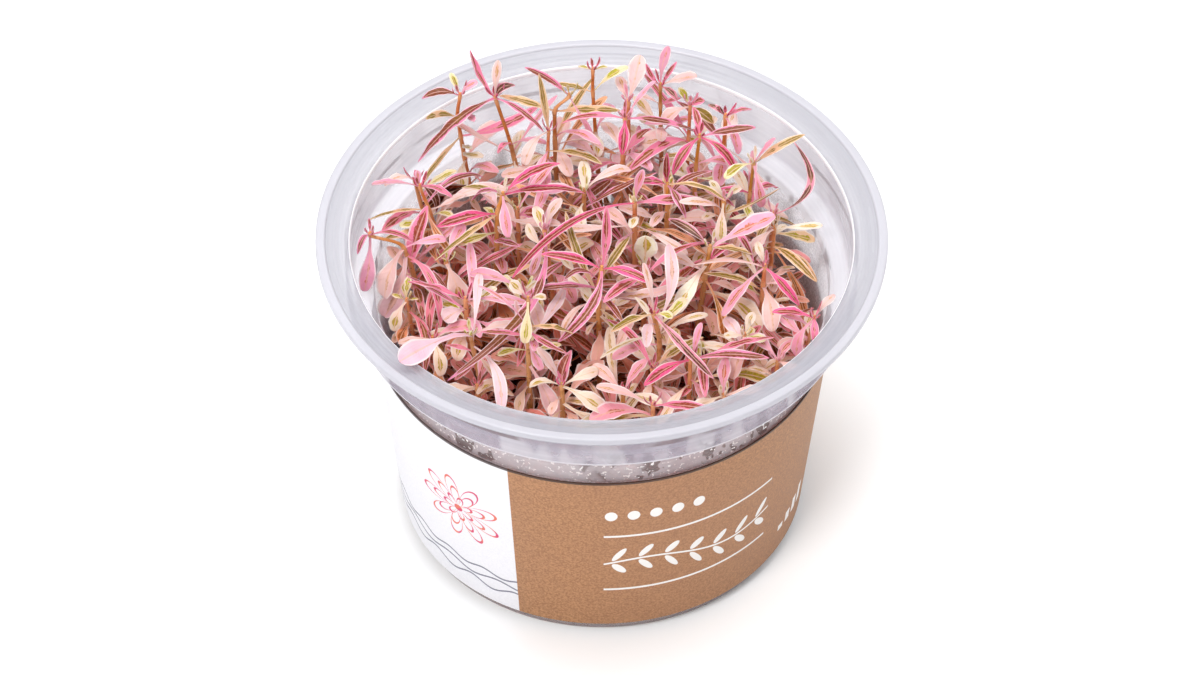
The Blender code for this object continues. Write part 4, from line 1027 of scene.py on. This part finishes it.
def plastic_material():
    """Milky translucent polypropylene, clouded by fine condensation on the inside of the body, with painted
    highlights on the mouth's edge, the lip, the collar's foot and the open strip, painted shade on the rim,
    on the collar and in the fold by the mouth, and a painted shadow line under the lip.
    """
    g = Graph("milky_plastic")
    place = g.point()
    x, y, z = g.apart(place)
    radius = g.times(g.math("SQRT", g.square_sum(x, y)), 1 / MM)
    height = g.times(z, 1 / MM)
    outside = g.times(height, (BODY_TOP_RADIUS - FOOT_RADIUS) / BODY_TOP, FOOT_RADIUS)
    inner = g.step(g.minus(outside, radius), 0.3 * WALL, 0.7 * WALL)
    body = g.step(height, BODY_TOP - 1.6, BODY_TOP - 0.6, 1, 0)
    wet = g.times(inner, body)
    drops = g.node("TexVoronoi", {"Vector": place, "Scale": 1500.0})["Distance"]
    bead = g.times(g.step(drops, 0.12, 0.42, 1, 0), wet)
    mist = g.times(g.noise(place, 3400, 1), wet)
    rings = g.noise(g.node("CombineXYZ", {0: radius, 1: height})[0], 0.9, 1)
    flow = g.noise(place, 45)
    smudge_and_shade = g.noise(g.stretch(place, (1, 1, 0.35)), 150, 2, 0.6)
    cloud = g.times(rings, 0.6, g.times(flow, 0.4))

    # Where each part and each mark is, the painted highlights and painted shade among them
    rim = g.step(height, COLLAR_TOP - 0.2, COLLAR_TOP + 0.3)
    outer = g.step(radius, *COLLAR_OUTSIDE)
    # Painted highlight along the rounded ring at the collar's foot
    ridge_highlight = g.times(g.band(height, RIDGE_HIGHLIGHT_BAND, 0.15), g.step(radius, 42.1, 42.3))
    # Painted shadow: a dark broken line round the collar, under the lip
    line = g.times(g.times(g.band(height, COLLAR_SHADOW_LINE, 0.15), outer), g.step(flow, 0.42, 0.48))
    # Painted shade: a grey line in the fold beside the mouth
    crease_shade = g.times(g.band(radius, MOUTH_CREASE_SHADE, 0.08), rim)
    # Painted highlight along the mouth's rounded edge
    edge = g.times(g.band(radius, MOUTH_EDGE_HIGHLIGHT, 0.08), rim)
    # Painted highlight on the outer face of the lip; the painted highlights are gathered in the next line
    lip = g.times(g.step(radius, 45.6, 46.2), g.step(height, HEIGHT - LIP_HEIGHT, HEIGHT - 0.9))
    painted_highlight = g.top(ridge_highlight, edge, g.times(lip, 0.7))
    # Painted shade: grey patches on the outside of the collar
    collar = g.times(g.band(height, COLLAR_SHADE_BAND, 0.3), outer)
    strip = g.band(height, STRIP_BAND, 0.6)
    smear = g.step(g.noise(g.stretch(place, (1, 1, 0.6)), 300, 2, 0.7), 0.53, 0.555)
    smear = g.times(g.times(smear, g.step(smudge_and_shade, 0.40, 0.48)), strip)
    smear = g.times(smear, g.minus(1.0, inner))
    clear_strip = g.times(strip, body)
    # Painted glints: small white highlights on the open strip
    glint = g.times(g.step(g.noise(place, 1500), 0.60, 0.66), clear_strip)

    colour = g.mix(g.step(cloud, 0.35, 0.65), srgb(205, 204, 211), srgb(213, 212, 219))
    # The rim is painted darker than the body: painted shade, against the stronger light it takes from above
    shaded_rim_colour = g.mix(g.step(cloud, 0.38, 0.62), srgb(178, 178, 185), srgb(186, 186, 193))
    wet_colour = g.mix(g.step(height, 20, 30, 1, 0), srgb(250, 248, 250), srgb(206, 160, 130))
    # Colours over the plain plastic: painted shade on the rim and the collar, condensation, dark smears,
    # painted glints and highlights, a painted shadow line and painted shade in the fold by the mouth
    for share, hue in (
        (rim, shaded_rim_colour), (g.times(collar, g.step(smudge_and_shade, 0.42, 0.56)), srgb(150, 141, 158)),
        (wet, wet_colour), (g.times(smear, 0.9), srgb(84, 62, 60)), (glint, (1, 1, 1)),
        (painted_highlight, srgb(222, 221, 228)), (edge, (0.98, 0.98, 1)),
        (g.times(line, 0.9), srgb(116, 98, 102)), (g.times(crease_shade, 0.25), srgb(150, 147, 156)),
    ):
        colour = g.mix(share, colour, hue)
    roughness = g.times(wet, 0.10, g.step(cloud, 0.3, 0.7, 0.20, 0.30))
    g.shade(colour, roughness, g.bump(g.add(bead, g.times(mist, 0.5)), 0.00010, 0.6), {"IOR": 1.49})
    milk = g.glow(g.times(wet, 0.42, 0.36))

    # How much the milky plastic hides: more where highlights, glints and a shadow line are painted, so that
    # their painted colours show
    veil = g.step(cloud, 0.35, 0.65, 0.38, 0.43)
    for mask, share in (
        (rim, 0.22), (body, -0.16), (wet, 0.26), (edge, 0.20), (clear_strip, 0.10), (smear, 0.36),
        (glint, 0.25), (g.step(mist, 0.40, 0.60), 0.20), (bead, 0.34), (g.top(painted_highlight, line), 0.30),
    ):
        veil = g.times(mask, share, veil)
    facing = g.node("LayerWeight", {"Blend": 0.5})["Facing"]
    veil = g.times(g.math("POWER", facing, 2.4), 0.36, veil, clamp=True)
    g.blend(veil, g.node("BsdfTransparent", {"Color": (0.955, 0.95, 0.965)})[0], milk)
    return g.mat


def gel_material():
    """Soft clear gel, browned by what the plants have left in it."""
    g = Graph("nutrient_gel_brown")
    place = g.point()
    cloud = g.noise(place, 90, 3)
    colour = g.mix(g.step(cloud, 0.3, 0.7), srgb(120, 66, 36), srgb(96, 44, 22))
    normal = g.bump(g.noise(place, 220), 0.0004, 0.5)
    more = {"Transmission Weight": 0.35, "IOR": 1.34}
    return g.shade(colour, g.step(cloud, 0.3, 0.7, 0.10, 0.22), normal, more)


def gel_profile():
    """Half section of the gel, with a meniscus up the wall."""
    foot = WALL + 0.05
    wall = body_radius(GEL_TOP) - WALL - 0.08
    return rounded([
        (0, foot, 0), (FOOT_RADIUS - WALL - 0.05, foot, 0.8), (wall, GEL_TOP, 0.3),
        (wall - 0.8, GEL_TOP - 0.1, 0.4), (wall - 2.2, GEL_TOP - 0.35, 0.6),
        (wall * 0.5, GEL_TOP - 0.3, 0), (0, GEL_TOP - 0.3, 0),
    ])


# The sleeve's print: u runs round the foot and v upwards, both in millimetres.
SLEEVE_SEGMENTS = 180
PANEL_EDGE_DEGREES = -23.5
PANEL_WIDTH_DEGREES = 96.0
PRINT_LEFT = 0.3
PRINT_RIGHT = 29.7
VINE_HEIGHT = 19.5
LEAFLET_PITCH = 4.2
LEAFLET = (1.75, 0.62)
RULES = (12.2, 27.0)
DOT_PITCH = 3.4
BAR_PITCH = 2.4
ROSETTE = (-24.0, 24.5)
ALL_OVER = 60.0


def print_bar(g, u, v, left, right, low, high):
    """A plain printed bar between two places each way."""
    along = g.times(g.math("GREATER_THAN", u, left), g.less(u, right))
    return g.times(along, g.times(g.math("GREATER_THAN", v, low), g.less(v, high)))


def print_blob(g, u, v, place, radii, turn=0.0):
    """A printed ellipse."""
    du, dv = g.minus(u, place[0]), g.minus(v, place[1])
    c, s = math.cos(turn), math.sin(turn)
    a = g.times(du, c / radii[0], g.times(dv, s / radii[0]))
    b = g.times(dv, c / radii[1], g.times(du, -s / radii[1]))
    return g.less(g.square_sum(a, b), 1.0)


def white_print(g, u, v):
    """White marks on the brown field: a garland of leaflets between two rules, dots and bars."""
    sway = g.times(g.math("SINE", g.times(u, 0.22)), 1.3)
    height = g.minus(v, g.add(sway, VINE_HEIGHT))
    along = g.math("FRACT", g.math("DIVIDE", g.minus(u, PRINT_LEFT), LEAFLET_PITCH))
    local = g.times(along, LEAFLET_PITCH, -LEAFLET_PITCH / 2)
    leaflets = [print_blob(g, local, height, (0.3, 1.9 * s), LEAFLET, 0.95 * s) for s in (1, -1)]
    garland = g.top(g.less(g.size(height), 0.22), *leaflets)
    garland = g.times(garland, print_bar(g, u, v, PRINT_LEFT, PRINT_RIGHT, 0.0, ALL_OVER))
    rules = [print_bar(g, u, v, PRINT_LEFT, PRINT_RIGHT, low, low + 0.5) for low in RULES]
    dots = [print_blob(g, u, v, (1.4 + DOT_PITCH * k, 32.8), (0.95, 1.2)) for k in range(5)]
    lefts = [34.5 + BAR_PITCH * k for k in range(4)]
    bars = [print_bar(g, u, v, left, left + 1.5, 8.0, 9.4 + 1.1 * k) for k, left in enumerate(lefts)]
    return g.top(garland, *rules, *dots, *bars)


def panel_print(g, u, v):
    """Marks on the white panel as two masks: a pink open rosette, and three grey waves under it."""
    du, dv = g.minus(u, ROSETTE[0]), g.minus(v, ROSETTE[1])
    far = g.math("SQRT", g.square_sum(du, dv))
    angle = g.math("ARCTAN2", dv, du)
    strokes = []
    for petals, reach, shift in ((9, 7.6, 0.0), (9, 5.2, 0.35), (7, 2.9, 0.1)):
        wave = g.size(g.math("SINE", g.times(angle, petals / 2, shift)))
        edge = g.times(g.math("POWER", wave, 0.55), reach)
        strokes.append(g.less(g.size(g.minus(far, edge)), 0.26))
    waves = []
    for low, length, size in ((6.6, 0.75, 0.7), (8.6, 0.62, 0.55), (10.4, 0.85, 0.45)):
        line = g.times(g.math("SINE", g.times(u, length)), size, low)
        waves.append(g.less(g.size(g.minus(v, line)), 0.2))
    return g.top(*strokes, g.less(far, 0.8)), g.top(*waves)


def sleeve_material():
    """Printed paper: a brown field with fine speckle and plain white marks, a white panel, and a painted
    shadow line along its top edge.
    """
    g = Graph("printed_sleeve")
    place = g.point()
    u, v, _ = g.apart(g.node("UVMap", uv_map="print")[0])
    grain = g.noise(place, 2600, 2, 0.7)
    brown = g.mix(g.step(grain, 0.30, 0.72), srgb(156, 107, 70), srgb(195, 144, 100))
    brown = g.mix(g.step(g.noise(place, 35), 0.3, 0.7, 0, 0.25), brown, srgb(168, 120, 92))
    brown = g.mix(white_print(g, u, v), brown, srgb(246, 243, 240))
    pink, grey = panel_print(g, u, v)
    white = g.mix(g.step(grain, 0.3, 0.7), srgb(236, 235, 240), srgb(244, 243, 247))
    ink = g.mix(g.step(g.noise(place, 500, 1), 0.4, 0.6), srgb(214, 60, 110), srgb(226, 112, 90))
    white = g.mix(grey, g.mix(pink, white, ink), srgb(120, 118, 136))
    edge, width = (math.radians(d) * FOOT_RADIUS for d in (PANEL_EDGE_DEGREES, PANEL_WIDTH_DEGREES))
    colour = g.mix(print_bar(g, u, v, edge - width, edge, -1.0, ALL_OVER), brown, white)
    # Painted shadow: a dark line along the sleeve's top edge
    painted_shadow_edge = g.step(v, SLEEVE_TOP - 0.42, SLEEVE_TOP - 0.34, 0, 0.92)
    colour = g.mix(painted_shadow_edge, colour, srgb(62, 42, 36))
    colour = g.mix(g.attribute("inner", "Fac"), colour, srgb(248, 246, 248))
    g.shade(colour, g.step(grain, 0.2, 0.8, 0.42, 0.58), g.bump(grain, 0.00003, 0.5))
    g.glow(0.22)
    return g.mat


def build_sleeve():
    """The paper sleeve, with its two ends a little apart at the back."""
    half_gap = math.radians(SLEEVE_GAP_DEGREES / 2)
    span = 2 * math.pi - 2 * half_gap
    layers = [SLEEVE_BOTTOM, SLEEVE_BOTTOM + 0.1, 12, 22, 32, SLEEVE_TOP - 0.1, SLEEVE_TOP]
    loop = [(z, 1) for z in layers] + [(z, 0) for z in reversed(layers)]
    points, prints, inner, faces = [], [], [], []
    count = len(loop)
    for k in range(SLEEVE_SEGMENTS + 1):
        turn = math.pi / 2 + half_gap + span * k / SLEEVE_SEGMENTS
        for z, outward in loop:
            radius = body_radius(z) + CLEARANCE + SLEEVE_THICKNESS * outward
            points.append([c * MM for c in polar(radius, turn, z)])
            prints.append(((turn - 1.5 * math.pi) * FOOT_RADIUS, z))
            inner.append(0.0 if outward or z == SLEEVE_TOP else 1.0)
    for here in range(0, count * SLEEVE_SEGMENTS, count):
        after = here + count
        for c in range(count):
            up = (c + 1) % count
            faces.append((here + c, after + c, after + up, here + up))
    faces += [tuple(range(count)), tuple(reversed(range(len(points) - count, len(points))))]
    name = "printed_paper_sleeve"
    mesh = new_mesh(name, points, faces, [sleeve_material()])
    mesh.attributes.new("inner", "FLOAT", "POINT").data.foreach_set("value", inner)
    layer = mesh.uv_layers.new(name="print")
    for corner in mesh.loops:
        layer.data[corner.index].uv = prints[corner.vertex_index]
    stand_in(link(name, mesh), "paper_sleeve")


# The studio: sizes in metres, and the strength of the light from all round
FLOOR_HALF = 3.0
LIGHTS_AIM = (0, 0, 0.045)
SURROUND = 0.72


def build_floor():
    """The pale floor under the cup."""
    corners = [(x * FLOOR_HALF, y * FLOOR_HALF, 0) for x, y in ((-1, -1), (1, -1), (1, 1), (-1, 1))]
    g = Graph("pale_floor")
    colour = g.mix(g.noise(g.point(), 3), (0.96, 0.96, 0.965), (0.97, 0.97, 0.97))
    mesh = bpy.data.meshes.new("floor")
    mesh.from_pydata(corners, [], [(0, 1, 2, 3)])
    mesh.materials.append(g.shade(colour, 0.9, more={"Specular IOR Level": 0.1}))
    link("floor", mesh)


def area_light(name, place, size, power):
    """A round light that faces the middle of the cup."""
    light = bpy.data.lights.new(name, "AREA")
    light.shape = "DISK"
    light.size = size
    light.energy = power
    obj = link(name, light)
    obj.location = place
    obj.rotation_euler = (Vector(LIGHTS_AIM) - Vector(place)).to_track_quat("-Z", "Y").to_euler()


def build_studio():
    """A bright white studio: an even surround, a key light, a light from behind and one from above."""
    world = bpy.data.worlds.new("studio")
    world.use_nodes = True
    inputs = world.node_tree.nodes["Background"].inputs
    inputs["Color"].default_value = (1, 1, 1, 1)
    inputs["Strength"].default_value = SURROUND
    bpy.context.scene.world = world
    area_light("key", (-0.30, -0.52, 0.78), 0.34, 4.6)
    area_light("back", (0.40, 0.35, 0.80), 0.5, 1.4)
    area_light("top", (-0.05, 0.10, 0.95), 0.5, 4.8)


# The camera: 760 mm from the middle of the rim, 44.5 degrees above it, with the frame 1200 by 675
CAMERA_PLACE = (-0.00028, -0.5423, 0.5940)
CAMERA_TILT_DEGREES = 44.19
CAMERA_LENS = 137.46


def build_camera():
    """The camera, where the photograph was taken from."""
    camera = bpy.data.cameras.new("camera")
    camera.lens = CAMERA_LENS
    camera.clip_start = 0.01
    camera.clip_end = 20
    obj = link("camera", camera)
    obj.location = CAMERA_PLACE
    obj.rotation_euler = (math.radians(CAMERA_TILT_DEGREES), 0, 0)
    bpy.context.scene.camera = obj


build_camera()
stand_in(turned("milky_cup", cup_profile(), CUP_SEGMENTS, plastic_material()), "cup")
stand_in(turned("brown_gel", gel_profile(), CUP_SEGMENTS // 2, gel_material()), "nutrient_gel")
build_sleeve()
build_plants()
build_floor()
build_studio()
bpy.context.scene.view_settings.view_transform = "Standard"
